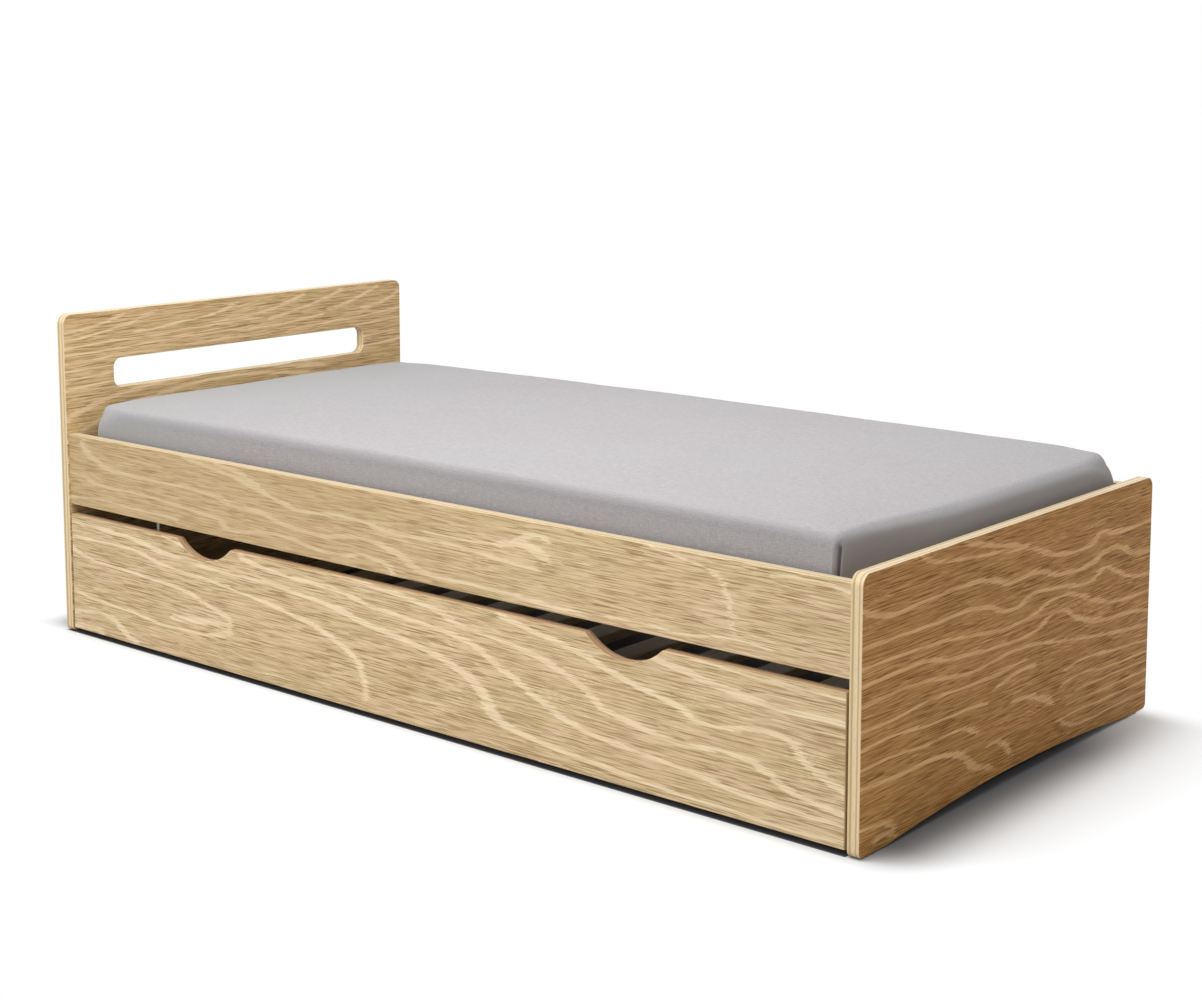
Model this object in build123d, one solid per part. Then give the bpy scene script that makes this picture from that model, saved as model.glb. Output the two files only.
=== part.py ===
from build123d import *
import os

# Trundle bed in veneered plywood, in millimetres.
# The origin is on the floor under the middle of the bed. +X runs to the footboard,
# -Y to the open side where the trundle rolls out, and +Z up.

os.makedirs("parts", exist_ok=True)

# Bed over all
bed_length = 1960.0
bed_width = 956.0
panel_thickness = 22.0
headboard_height = 664.0
footboard_height = 433.0
panel_top_radius = 19.0
panel_foot_radius = 10.0
foot_length = 78.0
arch_rise = 19.0
edge_round = 1.5

# Slot through the headboard
slot_length = 712.0
slot_height = 61.0
slot_drop = 102.0
slot_radius = 19.0

# Side rails
rail_thickness = 22.0
rail_height = 146.0
rail_drop = 16.0
rail_inset = 5.0

# Slats and the strips that carry them
slat_width = 57.0
slat_thickness = 18.0
slat_round = 3.0
slat_end_play = 3.0
bed_slat_count = 15
bed_slat_end_gap = 6.0
trundle_slat_count = 15
cleat_depth = 25.0
bed_cleat_height = 38.0
bed_cleat_lift = 1.0
bed_cleat_end_gap = 3.0
tape_width = 12.0
tape_thickness = 1.0
tape_inset = 8.0
tape_tail_length = 74.0
tape_tail_along = 223.0

# Mattress
mattress_end_gap = 13.0
mattress_side_gap = 3.0
mattress_height = 151.0
mattress_round = 28.0
soft_clearance = 0.3

# Trundle
trundle_end_gap = 5.0
trundle_front_inset = 1.0
trundle_front_thickness = 18.0
trundle_front_bottom = 10.0
trundle_top_gap = 19.5
trundle_rear_gap = 15.0
trundle_back_thickness = 18.0
trundle_back_height = 116.0
trundle_back_margin = 2.0
bearer_width = 90.0
bearer_thickness = 22.0

# Grip scoops in the trundle's front
scoop_offset = 527.0
scoop_radius = 115.0
scoop_depth = 33.0
scoop_lip_radius = 6.0

# Castors
wheel_diameter = 60.0
wheel_width = 22.0
tyre_thickness = 6.0
tyre_shoulder = 3.0
hub_boss_diameter = 18.0
hub_web_thickness = 8.0
axle_diameter = 6.0
axle_head_diameter = 10.0
axle_head_height = 2.0
fork_plate_length = 66.0
fork_plate_width = 56.0
fork_metal = 2.0
fork_side_gap = 1.5
fork_foot_radius = 11.0
fork_top_length = 46.0
wheel_top_gap = 8.0
castor_setback = 100.0

# Stops that the trundle meets when it is home
stop_width = 20.0
stop_height = 60.0
buffer_diameter = 12.0
buffer_height = 2.0
trundle_stop_gap = 0.3
stop_back_inset = 1.0

# Glides under the end panels
glide_diameter = 20.0
glide_height = 2.0
glide_pin_diameter = 3.0
glide_pin_length = 14.0

# Rail fittings: a bolt in the panel that a cam in the rail pulls tight, and plain dowels
cam_diameter = 15.0
cam_skin = 8.0
cam_reach = 34.0
cam_slot_depth = 4.0
cam_drive_width = 1.6
cam_drive_length = 9.0
cam_drive_depth = 2.0
bolt_diameter = 7.0
bolt_thread_diameter = 6.0
bolt_thread_length = 11.0
bolt_head_length = 3.0
cam_above_slats = 17.0
cam_below_top = 22.0
dowel_diameter = 8.0
dowel_in_rail = 18.0
dowel_in_panel = 12.0
dowel_end_gap = 0.5
low_dowel_rise = 25.0

# Wood screws: length, shank diameter, head diameter
cleat_screw = (38.0, 4.0, 8.0)
cleat_screw_count = 7
cleat_screw_end = 90.0
slat_screw = (32.0, 3.5, 7.0)
slat_screw_inset = 14.0
slat_screw_back = 12.0
stop_screw = (34.0, 3.5, 7.0)
stop_screw_inset = 10.0
bracket_screw = (14.0, 4.0, 8.0)
castor_screw = (16.0, 4.5, 9.0)
castor_screw_inset = 8.0

# Angle brackets that tie the trundle's bearers to its front and back
bracket_leg = 34.0
bracket_metal = 2.5
bracket_width = 60.0
bracket_screw_spacing = 36.0
bracket_screw_out = 20.0

# Clearances
bore_fit = 0.1
axle_fit = 0.05
drive_width = 0.8

# Planes and lengths that several pieces share
half_length = bed_length / 2
half_width = bed_width / 2
half_inner = half_length - panel_thickness
rail_top = footboard_height - rail_drop
rail_bottom = rail_top - rail_height
rail_inner_y = half_width - rail_inset - rail_thickness
rail_mid_y = rail_inner_y + rail_thickness / 2
bed_cleat_bottom = rail_bottom + bed_cleat_lift
bed_slat_bottom = bed_cleat_bottom + bed_cleat_height
bed_slat_top = bed_slat_bottom + slat_thickness
cam_height = rail_thickness - cam_skin
cam_rises = (bed_slat_top + cam_above_slats - rail_bottom, rail_height - cam_below_top)
dowel_rises = (low_dowel_rise, sum(cam_rises) / 2)
trundle_half = half_inner - trundle_end_gap
front_face_y = -half_width + trundle_front_inset
front_inner_y = front_face_y + trundle_front_thickness
back_face_y = half_width - trundle_rear_gap
back_inner_y = back_face_y - trundle_back_thickness
trundle_inner_depth = back_inner_y - front_inner_y
trundle_mid_y = (front_inner_y + back_inner_y) / 2
trundle_front_top = rail_bottom - trundle_top_gap
axle_height = wheel_diameter / 2
bearer_bottom = wheel_diameter + wheel_top_gap + fork_metal
bearer_top = bearer_bottom + bearer_thickness
bearer_inner = trundle_half - bearer_width
trundle_back_bottom = bearer_bottom - bracket_leg - trundle_back_margin
stop_bottom = trundle_back_bottom + (trundle_back_height - stop_height) / 2

both = (-1, 1)
ends = {"head": -1, "foot": 1}
sides = {"front": -1, "back": 1}


def block(x0, x1, y0, y1, z0, z1):
    middle = Pos((x0 + x1) / 2, (y0 + y1) / 2, (z0 + z1) / 2)
    return middle * Box(abs(x1 - x0), abs(y1 - y0), abs(z1 - z0))


def eased_block(axis, radius, x0, x1, y0, y1, z0, z1):
    body = block(x0, x1, y0, y1, z0, z1)
    return fillet(body.edges().filter_by(axis), radius)


def rod(plane, radius, length):
    return extrude(plane * Circle(radius), length)


def evenly(first, last, count):
    step = (last - first) / (count - 1)
    return [first + step * i for i in range(count)]


def save(name, *solids):
    whole = Compound(children=list(solids)) if len(solids) > 1 else solids[0]
    whole.label = name
    export_step(whole, f"parts/{name}.step")


# A screw stands along its plane's normal: its head is flush with the plane and its tip is below.
def screw(plane, size):
    length, shank, head = size
    cone = (head - shank) / 2
    outline = [(0, 0), (head / 2, 0), (shank / 2, -cone), (shank / 2, shank - length), (0, -length)]
    body = revolve(Plane.XZ * Polygon(*outline, align=None), axis=Axis.Z)
    cross = Box(drive_width, shank, cone) + Box(shank, drive_width, cone)
    return plane * (body - cross)


# The hole for a screw clears it all round and runs on past the surface.
def screw_hole(plane, size):
    length, shank, head = size
    radius = head / 2 + bore_fit
    neck = shank / 2 + bore_fit
    cone = radius - neck
    outline = [(0, head), (radius, head), (radius, 0), (neck, -cone), (neck, -length), (0, -length)]
    return plane * revolve(Plane.XZ * Polygon(*outline, align=None), axis=Axis.Z)


def drilled(body, planes, size):
    for plane in planes:
        body -= screw_hole(plane, size)
    return body


def screws(planes, size):
    return [screw(plane, size) for plane in planes]


# Rail fittings, one set for each end of each rail
def joint_planes(end, side, rises):
    out = (-end, 0, 0)
    return [
        Plane(origin=(end * half_inner, side * rail_mid_y, rail_bottom + rise), z_dir=out)
        for rise in rises
    ]


# The cam turns about an axis through the rail's thickness, a reach away from its end.
def cam_plane(end, side, rise):
    spot = (end * (half_inner - cam_reach), side * rail_inner_y, rail_bottom + rise)
    return Plane(origin=spot, z_dir=(0, -side, 0))


def cam_lock(plane, bolt_plane):
    body = rod(plane, cam_diameter / 2, -cam_height)
    body -= rod(bolt_plane, bolt_diameter / 2 + bore_fit, cam_reach - cam_diameter / 2 + cam_slot_depth)
    sink = plane * Pos(0, 0, -cam_drive_depth / 2)
    slot = Box(cam_drive_length, cam_drive_width, cam_drive_depth)
    cross = Box(cam_drive_width, cam_drive_length, cam_drive_depth)
    return body - sink * slot - sink * cross


def cam_bolt(bolt_plane):
    shank = cam_reach - cam_diameter / 2 + cam_slot_depth - bolt_head_length
    body = rod(bolt_plane, bolt_diameter / 2, shank)
    body += rod(bolt_plane, bolt_thread_diameter / 2, -bolt_thread_length)
    return body


def cut_panel_for_rails(panel, end):
    for side in both:
        for plane in joint_planes(end, side, cam_rises):
            panel -= rod(plane, bolt_thread_diameter / 2 + bore_fit, -bolt_thread_length)
        for plane in joint_planes(end, side, dowel_rises):
            panel -= rod(plane, dowel_diameter / 2 + bore_fit, -dowel_in_panel)
    return panel


# End panels: a board with rounded corners, arched along the floor between two feet
def panel_outline(height):
    board = Pos(0, (height + glide_height) / 2) * Rectangle(bed_width, height - glide_height)
    board = fillet(board.vertices().group_by(Axis.Y)[-1], panel_top_radius)
    board = fillet(board.vertices().group_by(Axis.Y)[0], panel_foot_radius)
    half_span = half_width - foot_length
    arch_radius = (half_span**2 + arch_rise**2) / (2 * arch_rise)
    return board - Pos(0, glide_height + arch_rise - arch_radius) * Circle(arch_radius)


def slot_outline():
    height = headboard_height - slot_drop - slot_height / 2
    return Pos(0, height) * RectangleRounded(slot_length, slot_height, slot_radius)


def end_panel(outline, end):
    board = extrude(Plane.YZ.offset(end * half_inner) * outline, end * panel_thickness)
    faces = board.edges().group_by(Axis.X)
    return fillet(faces[0] + faces[-1], edge_round)


def glide_planes(end):
    along = end * (half_length - panel_thickness / 2)
    across = half_width - foot_length / 2
    return [Plane(origin=(along, side * across, glide_height), z_dir=(0, 0, -1)) for side in both]


def glide(plane):
    disc = rod(plane, glide_diameter / 2, glide_height)
    return disc + rod(plane, glide_pin_diameter / 2, -glide_pin_length)


def finished_panel(outline, name):
    end = ends[name]
    panel = cut_panel_for_rails(end_panel(outline, end), end)
    for plane in glide_planes(end):
        panel -= rod(plane, glide_pin_diameter / 2 + bore_fit, -glide_pin_length)
    return drilled(panel, stop_screw_planes(end), stop_screw)


# Side rails
def cleat_screw_planes(side, half_run, face_y, height):
    reach = half_run - cleat_screw_end
    out = (0, -side, 0)
    return [
        Plane(origin=(x, face_y, height), z_dir=out)
        for x in evenly(-reach, reach, cleat_screw_count)
    ]


def bed_cleat_planes(side):
    face = side * (rail_inner_y - cleat_depth)
    middle = bed_cleat_bottom + bed_cleat_height / 2
    return cleat_screw_planes(side, half_inner - bed_cleat_end_gap, face, middle)


def side_rail(side):
    inner = side * rail_inner_y
    outer = side * (rail_inner_y + rail_thickness)
    rail = eased_block(Axis.X, edge_round, -half_inner, half_inner, inner, outer, rail_bottom, rail_top)
    for end in both:
        for rise, plane in zip(cam_rises, joint_planes(end, side, cam_rises)):
            rail -= rod(plane, bolt_diameter / 2 + bore_fit, cam_reach)
            rail -= rod(cam_plane(end, side, rise), cam_diameter / 2 + bore_fit, -cam_height)
        for plane in joint_planes(end, side, dowel_rises):
            rail -= rod(plane, dowel_diameter / 2 + bore_fit, dowel_in_rail)
    return drilled(rail, bed_cleat_planes(side), cleat_screw)


def bed_cleat(side):
    run = half_inner - bed_cleat_end_gap
    inner = side * (rail_inner_y - cleat_depth)
    top = bed_cleat_bottom + bed_cleat_height
    strip = block(-run, run, inner, side * rail_inner_y, bed_cleat_bottom, top)
    strip = drilled(strip, bed_cleat_planes(side), cleat_screw)
    planes = [p for p in bed_slat_screw_planes() if p.origin.Y * side > 0]
    return drilled(strip, planes, slat_screw)


def rail_dowel(plane):
    start = plane.offset(dowel_end_gap - dowel_in_panel)
    return rod(start, dowel_diameter / 2, dowel_in_panel + dowel_in_rail - 2 * dowel_end_gap)


# Slats lie across the bed, side by side at one pitch.
def slat_places(half_run, count):
    reach = half_run - slat_width / 2
    return evenly(-reach, reach, count)


def slat(x, y0, y1, bottom):
    edges = (x - slat_width / 2, x + slat_width / 2, y0, y1, bottom, bottom + slat_thickness)
    return eased_block(Axis.Y, slat_round, *edges)


# Two screws hold each end of the outermost slats.
def end_slat_planes(half_run, half_depth, middle, top, inset):
    reach = half_run - slat_width / 2
    return [
        Plane(origin=(end * reach + shift, middle + side * (half_depth - inset), top), z_dir=(0, 0, 1))
        for end in both
        for side in both
        for shift in (-slat_screw_inset, slat_screw_inset)
    ]


def bed_slat_screw_planes():
    run = half_inner - bed_slat_end_gap
    inset = slat_screw_back - slat_end_play
    return end_slat_planes(run, rail_inner_y - slat_end_play, 0, bed_slat_top, inset)


def trundle_slat_screw_planes():
    half_depth = trundle_inner_depth / 2 - slat_end_play
    top = bearer_top + slat_thickness
    return end_slat_planes(trundle_half, half_depth, trundle_mid_y, top, slat_screw_back)


def slat_tape(half_run, inner_y, side, slat_bottom):
    near = inner_y - side * tape_inset
    far = near - side * tape_width
    return block(-half_run, half_run, near, far, slat_bottom - tape_thickness, slat_bottom)


# The loose end of the bed's front tape hangs from the underside of a slat near the headboard.
def tape_tail(inner_y, side, slat_bottom):
    x = tape_tail_along - half_inner
    near = inner_y - side * tape_inset
    low = slat_bottom - tape_tail_length
    return block(x, x + tape_width, near - side * tape_thickness, near, low, slat_bottom)


# Trundle front with two grip scoops in its top edge
def trundle_front_board():
    middle = (trundle_front_bottom + trundle_front_top) / 2
    outline = Pos(0, middle) * Rectangle(2 * trundle_half, trundle_front_top - trundle_front_bottom)
    for end in both:
        centre = trundle_front_top - scoop_depth + scoop_radius
        outline -= Pos(end * scoop_offset, centre) * Circle(scoop_radius)
    lips = outline.vertices().group_by(Axis.Y)[-1].sort_by(Axis.X)[1:-1]
    outline = fillet(lips, scoop_lip_radius)
    board = extrude(Plane.XZ.offset(-front_face_y) * outline, -trundle_front_thickness)
    faces = board.edges().group_by(Axis.Y)
    return fillet(faces[0] + faces[-1], edge_round)


def trundle_cleat_planes(side):
    face = trundle_mid_y + side * (trundle_inner_depth / 2 - cleat_depth)
    return cleat_screw_planes(side, bearer_inner, face, bearer_bottom + bearer_thickness / 2)


def bracket_planes(end, side):
    middle = end * (trundle_half - bearer_width / 2)
    wall = trundle_mid_y + side * trundle_inner_depth / 2
    level = bearer_bottom
    shifts = (-bracket_screw_spacing / 2, bracket_screw_spacing / 2)
    down = [
        Plane(
            origin=(middle + s, wall - side * bracket_screw_out, level - bracket_metal),
            z_dir=(0, 0, -1),
        )
        for s in shifts
    ]
    inward = [
        Plane(
            origin=(middle + s, wall - side * bracket_metal, level - bracket_screw_out),
            z_dir=(0, -side, 0),
        )
        for s in shifts
    ]
    return down + inward


def bracket(end, side):
    middle = end * (trundle_half - bearer_width / 2)
    wall = trundle_mid_y + side * trundle_inner_depth / 2
    x0, x1 = middle - bracket_width / 2, middle + bracket_width / 2
    low = bearer_bottom - bracket_leg
    upright = block(x0, x1, wall, wall - side * bracket_metal, low, bearer_bottom)
    shelf = block(x0, x1, wall, wall - side * bracket_leg, bearer_bottom - bracket_metal, bearer_bottom)
    return drilled(upright + shelf, bracket_planes(end, side), bracket_screw)


def all_bracket_planes():
    return [plane for end in both for side in both for plane in bracket_planes(end, side)]


def trundle_wall(board, side):
    board = drilled(board, trundle_cleat_planes(side), cleat_screw)
    return drilled(board, [p for end in both for p in bracket_planes(end, side)], bracket_screw)


def trundle_cleat(side):
    inner = trundle_mid_y + side * (trundle_inner_depth / 2 - cleat_depth)
    outer = trundle_mid_y + side * trundle_inner_depth / 2
    strip = block(-bearer_inner, bearer_inner, inner, outer, bearer_bottom, bearer_top)
    return drilled(strip, trundle_cleat_planes(side), cleat_screw)


# Castors: a fork under a bearer, an axle through its cheeks, and a wheel with a tyre
def castor_spot(end, side):
    x = end * (trundle_half - bearer_width / 2)
    y = trundle_mid_y + side * (trundle_inner_depth / 2 - castor_setback)
    return x, y


def castor_screw_planes(end, side):
    x, y = castor_spot(end, side)
    across = fork_plate_width / 2 - castor_screw_inset
    along = fork_plate_length / 2 - castor_screw_inset
    level = bearer_bottom - fork_metal
    return [
        Plane(origin=(x + i * across, y + j * along, level), z_dir=(0, 0, -1))
        for i in both
        for j in both
    ]


def all_castor_screw_planes():
    return [p for end in both for side in both for p in castor_screw_planes(end, side)]


def castor_fork(end, side):
    x, y = castor_spot(end, side)
    level = bearer_bottom - fork_metal
    half_wide, half_long = fork_plate_width / 2, fork_plate_length / 2
    plate = block(x - half_wide, x + half_wide, y - half_long, y + half_long, level, bearer_bottom)
    cheek = Polygon(
        (y - fork_foot_radius, axle_height),
        (y + fork_foot_radius, axle_height),
        (y + fork_top_length / 2, level),
        (y - fork_top_length / 2, level),
        align=None,
    )
    cheek += Pos(y, axle_height) * Circle(fork_foot_radius)
    cheek -= Pos(y, axle_height) * Circle(axle_diameter / 2 + axle_fit)
    fork = drilled(plate, castor_screw_planes(end, side), castor_screw)
    for i in both:
        start = x + i * (wheel_width / 2 + fork_side_gap)
        fork += extrude(Plane.YZ.offset(start) * cheek, i * fork_metal)
    return fork


def castor_axle(end, side):
    x, y = castor_spot(end, side)
    half_grip = wheel_width / 2 + fork_side_gap + fork_metal
    start = Plane(origin=(x - half_grip, y, axle_height), z_dir=(1, 0, 0))
    pin = rod(start, axle_diameter / 2, 2 * half_grip)
    pin += rod(start, axle_head_diameter / 2, -axle_head_height)
    pin += rod(start.offset(2 * half_grip), axle_head_diameter / 2, axle_head_height)
    return pin


def wheel_centre(end, side):
    x, y = castor_spot(end, side)
    return Plane(origin=(x, y, axle_height), z_dir=(1, 0, 0))


def ring(plane, outer, inner, width):
    band = Circle(outer) - Circle(inner)
    return extrude(plane.offset(-width / 2) * band, width)


def wheel_hub(end, side):
    centre = wheel_centre(end, side)
    rim_outer = wheel_diameter / 2 - tyre_thickness - bore_fit
    rim_inner = rim_outer - tyre_thickness / 2
    bore = axle_diameter / 2 + axle_fit
    rim = ring(centre, rim_outer, rim_inner, wheel_width - tyre_shoulder)
    web = ring(centre, rim_outer, bore, hub_web_thickness)
    boss = ring(centre, hub_boss_diameter / 2, bore, wheel_width)
    return rim + web + boss


def wheel_tyre(end, side):
    centre = wheel_centre(end, side)
    band = ring(centre, wheel_diameter / 2, wheel_diameter / 2 - tyre_thickness, wheel_width)
    outer = band.edges().filter_by(GeomType.CIRCLE).sort_by(SortBy.RADIUS)[-2:]
    return fillet(outer, tyre_shoulder)


# Stops behind the trundle, each with a soft buffer
def stop_depths():
    front = back_face_y + trundle_stop_gap + buffer_height
    return front, half_width - stop_back_inset


def stop_screw_planes(end):
    front, back = stop_depths()
    x = end * (half_inner - stop_width)
    heights = (stop_bottom + stop_screw_inset, stop_bottom + stop_height - stop_screw_inset)
    return [Plane(origin=(x, (front + back) / 2, z), z_dir=(-end, 0, 0)) for z in heights]


def stop_block(end):
    front, back = stop_depths()
    x = end * half_inner
    body = block(x, x - end * stop_width, front, back, stop_bottom, stop_bottom + stop_height)
    return drilled(body, stop_screw_planes(end), stop_screw)


def stop_buffer(end):
    front = stop_depths()[0]
    middle = stop_bottom + stop_height / 2
    # The trundle's back ends short of the panel, so the buffer stands where it overlaps the stop.
    x = end * (trundle_half + half_inner - stop_width) / 2
    return rod(Plane(origin=(x, front, middle), z_dir=(0, -1, 0)), buffer_diameter / 2, buffer_height)


def mattress():
    half_x, half_y = half_inner - mattress_end_gap, rail_inner_y - mattress_side_gap
    base = bed_slat_top + soft_clearance
    body = block(-half_x, half_x, -half_y, half_y, base, base + mattress_height)
    uprights = body.edges().filter_by(Axis.Z)
    body = fillet(uprights, mattress_round)
    return fillet(body.edges().group_by(Axis.Z)[-1], mattress_round)


# Bed frame
save("headboard", finished_panel(panel_outline(headboard_height) - slot_outline(), "head"))
save("footboard", finished_panel(panel_outline(footboard_height), "foot"))

bed_slat_run = half_inner - bed_slat_end_gap
bed_slat_reach = rail_inner_y - slat_end_play
bed_slats = [
    slat(x, -bed_slat_reach, bed_slat_reach, bed_slat_bottom)
    for x in slat_places(bed_slat_run, bed_slat_count)
]
bed_slats = [drilled(s, bed_slat_screw_planes(), slat_screw) for s in bed_slats]
save("bed_slats", *bed_slats)

for name, side in sides.items():
    save(f"{name}_rail", side_rail(side))
    save(f"{name}_slat_cleat", bed_cleat(side))
    tape_edge = side * (rail_inner_y - cleat_depth)
    tape = slat_tape(bed_slat_run, tape_edge, side, bed_slat_bottom)
    if name == "front":
        tape += tape_tail(tape_edge, side, bed_slat_bottom)
    save(f"{name}_slat_tape", tape)

corners = [(end, side) for end in both for side in both]
bolt_planes = [(e, s, rise, joint_planes(e, s, [rise])[0]) for e, s in corners for rise in cam_rises]
save("rail_cam_bolts", *[cam_bolt(plane) for e, s, rise, plane in bolt_planes])
save("rail_cam_locks", *[cam_lock(cam_plane(e, s, rise), plane) for e, s, rise, plane in bolt_planes])
dowel_planes = [plane for e, s in corners for plane in joint_planes(e, s, dowel_rises)]
save("rail_dowels", *[rail_dowel(plane) for plane in dowel_planes])
bed_cleat_screw_planes = [plane for side in both for plane in bed_cleat_planes(side)]
save("cleat_screws", *screws(bed_cleat_screw_planes, cleat_screw))
save("bed_slat_screws", *screws(bed_slat_screw_planes(), slat_screw))
save("foot_glides", *[glide(plane) for end in both for plane in glide_planes(end)])

for name, end in ends.items():
    save(f"{name}_stop_block", stop_block(end))
save("stop_screws", *screws([p for end in both for p in stop_screw_planes(end)], stop_screw))
save("stop_buffers", *[stop_buffer(end) for end in both])
save("mattress", mattress())

# Trundle
save("trundle_front", trundle_wall(trundle_front_board(), sides["front"]))
back_top = trundle_back_bottom + trundle_back_height
back_edges = (-trundle_half, trundle_half, back_inner_y, back_face_y, trundle_back_bottom, back_top)
save("trundle_back", trundle_wall(eased_block(Axis.X, edge_round, *back_edges), sides["back"]))

for name, end in ends.items():
    bearer = block(
        end * bearer_inner, end * trundle_half, front_inner_y, back_inner_y, bearer_bottom, bearer_top
    )
    for side in both:
        bearer = drilled(bearer, bracket_planes(end, side), bracket_screw)
        bearer = drilled(bearer, castor_screw_planes(end, side), castor_screw)
    save(f"{name}_bearer", drilled(bearer, trundle_slat_screw_planes(), slat_screw))

trundle_slats = [
    slat(x, front_inner_y + slat_end_play, back_inner_y - slat_end_play, bearer_top)
    for x in slat_places(trundle_half, trundle_slat_count)
]
trundle_slats = [drilled(s, trundle_slat_screw_planes(), slat_screw) for s in trundle_slats]
save("trundle_slats", *trundle_slats)

for name, side in sides.items():
    save(f"trundle_{name}_cleat", trundle_cleat(side))
    tape_edge = trundle_mid_y + side * (trundle_inner_depth / 2 - cleat_depth)
    save(f"trundle_{name}_tape", slat_tape(bearer_inner, tape_edge, side, bearer_top))

trundle_cleat_screw_planes = [plane for side in both for plane in trundle_cleat_planes(side)]
save("trundle_cleat_screws", *screws(trundle_cleat_screw_planes, cleat_screw))
save("trundle_slat_screws", *screws(trundle_slat_screw_planes(), slat_screw))
save("bracket_screws", *screws(all_bracket_planes(), bracket_screw))
save("castor_screws", *screws(all_castor_screw_planes(), castor_screw))

for end_name, end in ends.items():
    for side_name, side in sides.items():
        corner = f"{end_name}_{side_name}"
        save(f"{corner}_bracket", bracket(end, side))
        save(f"{corner}_castor_fork", castor_fork(end, side))
        save(f"{corner}_castor_axle", castor_axle(end, side))
        save(f"{corner}_wheel_hub", wheel_hub(end, side))
        save(f"{corner}_wheel_tyre", wheel_tyre(end, side))
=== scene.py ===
import math

import bmesh
import bpy
from mathutils import Matrix, Vector, noise
from mathutils.bvhtree import BVHTree


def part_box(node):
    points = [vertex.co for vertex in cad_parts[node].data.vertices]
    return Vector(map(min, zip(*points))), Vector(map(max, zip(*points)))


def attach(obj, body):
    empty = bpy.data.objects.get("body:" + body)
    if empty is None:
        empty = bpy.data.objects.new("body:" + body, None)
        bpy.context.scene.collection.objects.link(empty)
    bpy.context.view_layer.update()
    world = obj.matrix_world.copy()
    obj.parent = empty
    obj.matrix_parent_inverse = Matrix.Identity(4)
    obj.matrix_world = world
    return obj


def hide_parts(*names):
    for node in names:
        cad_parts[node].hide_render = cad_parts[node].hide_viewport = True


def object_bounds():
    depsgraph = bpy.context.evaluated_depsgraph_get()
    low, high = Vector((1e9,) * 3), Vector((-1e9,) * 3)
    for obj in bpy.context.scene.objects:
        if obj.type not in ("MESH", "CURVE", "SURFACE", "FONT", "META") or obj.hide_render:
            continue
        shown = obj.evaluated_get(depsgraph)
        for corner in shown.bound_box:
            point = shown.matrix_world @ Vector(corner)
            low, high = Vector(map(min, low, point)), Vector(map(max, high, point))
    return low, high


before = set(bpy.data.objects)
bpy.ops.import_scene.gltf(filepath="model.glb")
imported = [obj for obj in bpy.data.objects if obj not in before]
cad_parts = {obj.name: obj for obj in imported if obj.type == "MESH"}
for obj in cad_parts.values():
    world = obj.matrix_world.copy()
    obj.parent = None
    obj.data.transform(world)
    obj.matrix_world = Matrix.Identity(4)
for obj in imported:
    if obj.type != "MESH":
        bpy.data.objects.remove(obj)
cadLow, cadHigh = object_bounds()
print("frame loaded:", len(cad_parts), "nodes")


# small helpers for material trees; a value may be a number, a colour or a socket

def srgb(red, green, blue):
    # colours are written as they look on screen, 0 to 255
    def toLinear(value):
        value /= 255
        return value / 12.92 if value <= 0.04045 else ((value + 0.055) / 1.055) ** 2.4
    return (toLinear(red), toLinear(green), toLinear(blue), 1.0)


def feed(tree, socket, value):
    if isinstance(value, bpy.types.NodeSocket):
        tree.links.new(value, socket)
    else:
        socket.default_value = value


def emptyTree(owner):
    owner.use_nodes = True
    owner.node_tree.nodes.clear()
    return owner.node_tree


def newMaterial(name):
    material = bpy.data.materials.new(name)
    tree = emptyTree(material)
    output = tree.nodes.new("ShaderNodeOutputMaterial")
    shader = tree.nodes.new("ShaderNodeBsdfPrincipled")
    tree.links.new(shader.outputs["BSDF"], output.inputs["Surface"])
    return material, tree, shader


def calc(tree, operation, *values):
    node = tree.nodes.new("ShaderNodeMath")
    node.operation = operation
    for socket, value in zip(node.inputs, values):
        feed(tree, socket, value)
    return node.outputs[0]


def times(tree, first, second):
    return calc(tree, "MULTIPLY", first, second)


def plus(tree, first, second):
    return calc(tree, "ADD", first, second)


def less(tree, first, second):
    return calc(tree, "SUBTRACT", first, second)


def ease(tree, value, start, end, low=0.0, high=1.0):
    node = tree.nodes.new("ShaderNodeMapRange")
    node.interpolation_type = "SMOOTHSTEP"
    names = ("Value", "From Min", "From Max", "To Min", "To Max")
    for name, number in zip(names, (value, start, end, low, high)):
        feed(tree, node.inputs[name], number)
    return node.outputs["Result"]


def tint(tree, share, first, second, mode="MIX"):
    node = tree.nodes.new("ShaderNodeMix")
    node.data_type = "RGBA"
    node.blend_type = mode
    feed(tree, node.inputs[0], share)
    feed(tree, node.inputs[6], first)
    feed(tree, node.inputs[7], second)
    return node.outputs[2]


def vectorOf(tree, x, y, z):
    node = tree.nodes.new("ShaderNodeCombineXYZ")
    for socket, value in zip(node.inputs, (x, y, z)):
        feed(tree, socket, value)
    return node.outputs[0]


def partsOf(tree, vector):
    node = tree.nodes.new("ShaderNodeSeparateXYZ")
    tree.links.new(vector, node.inputs[0])
    return node.outputs[0], node.outputs[1], node.outputs[2]


def placeOnPiece(tree, coords):
    # the place on the piece along x, y and z, in millimetres
    return [times(tree, part, 1000.0) for part in partsOf(tree, coords.outputs["Object"])]


def blotches(tree, vector, sizes, detail=2.0, roughness=0.5, shift=0.0):
    # noise whose blotches have the given size along each axis, about 0.5 in the middle
    mapping = tree.nodes.new("ShaderNodeMapping")
    mapping.inputs["Scale"].default_value = [1 / size for size in sizes]
    mapping.inputs["Location"].default_value = (shift, shift * 0.7, shift * 1.3)
    tree.links.new(vector, mapping.inputs["Vector"])
    node = tree.nodes.new("ShaderNodeTexNoise")
    tree.links.new(mapping.outputs[0], node.inputs["Vector"])
    node.inputs["Scale"].default_value = 1.0
    node.inputs["Detail"].default_value = detail
    node.inputs["Roughness"].default_value = roughness
    return node.outputs[0]


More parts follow.
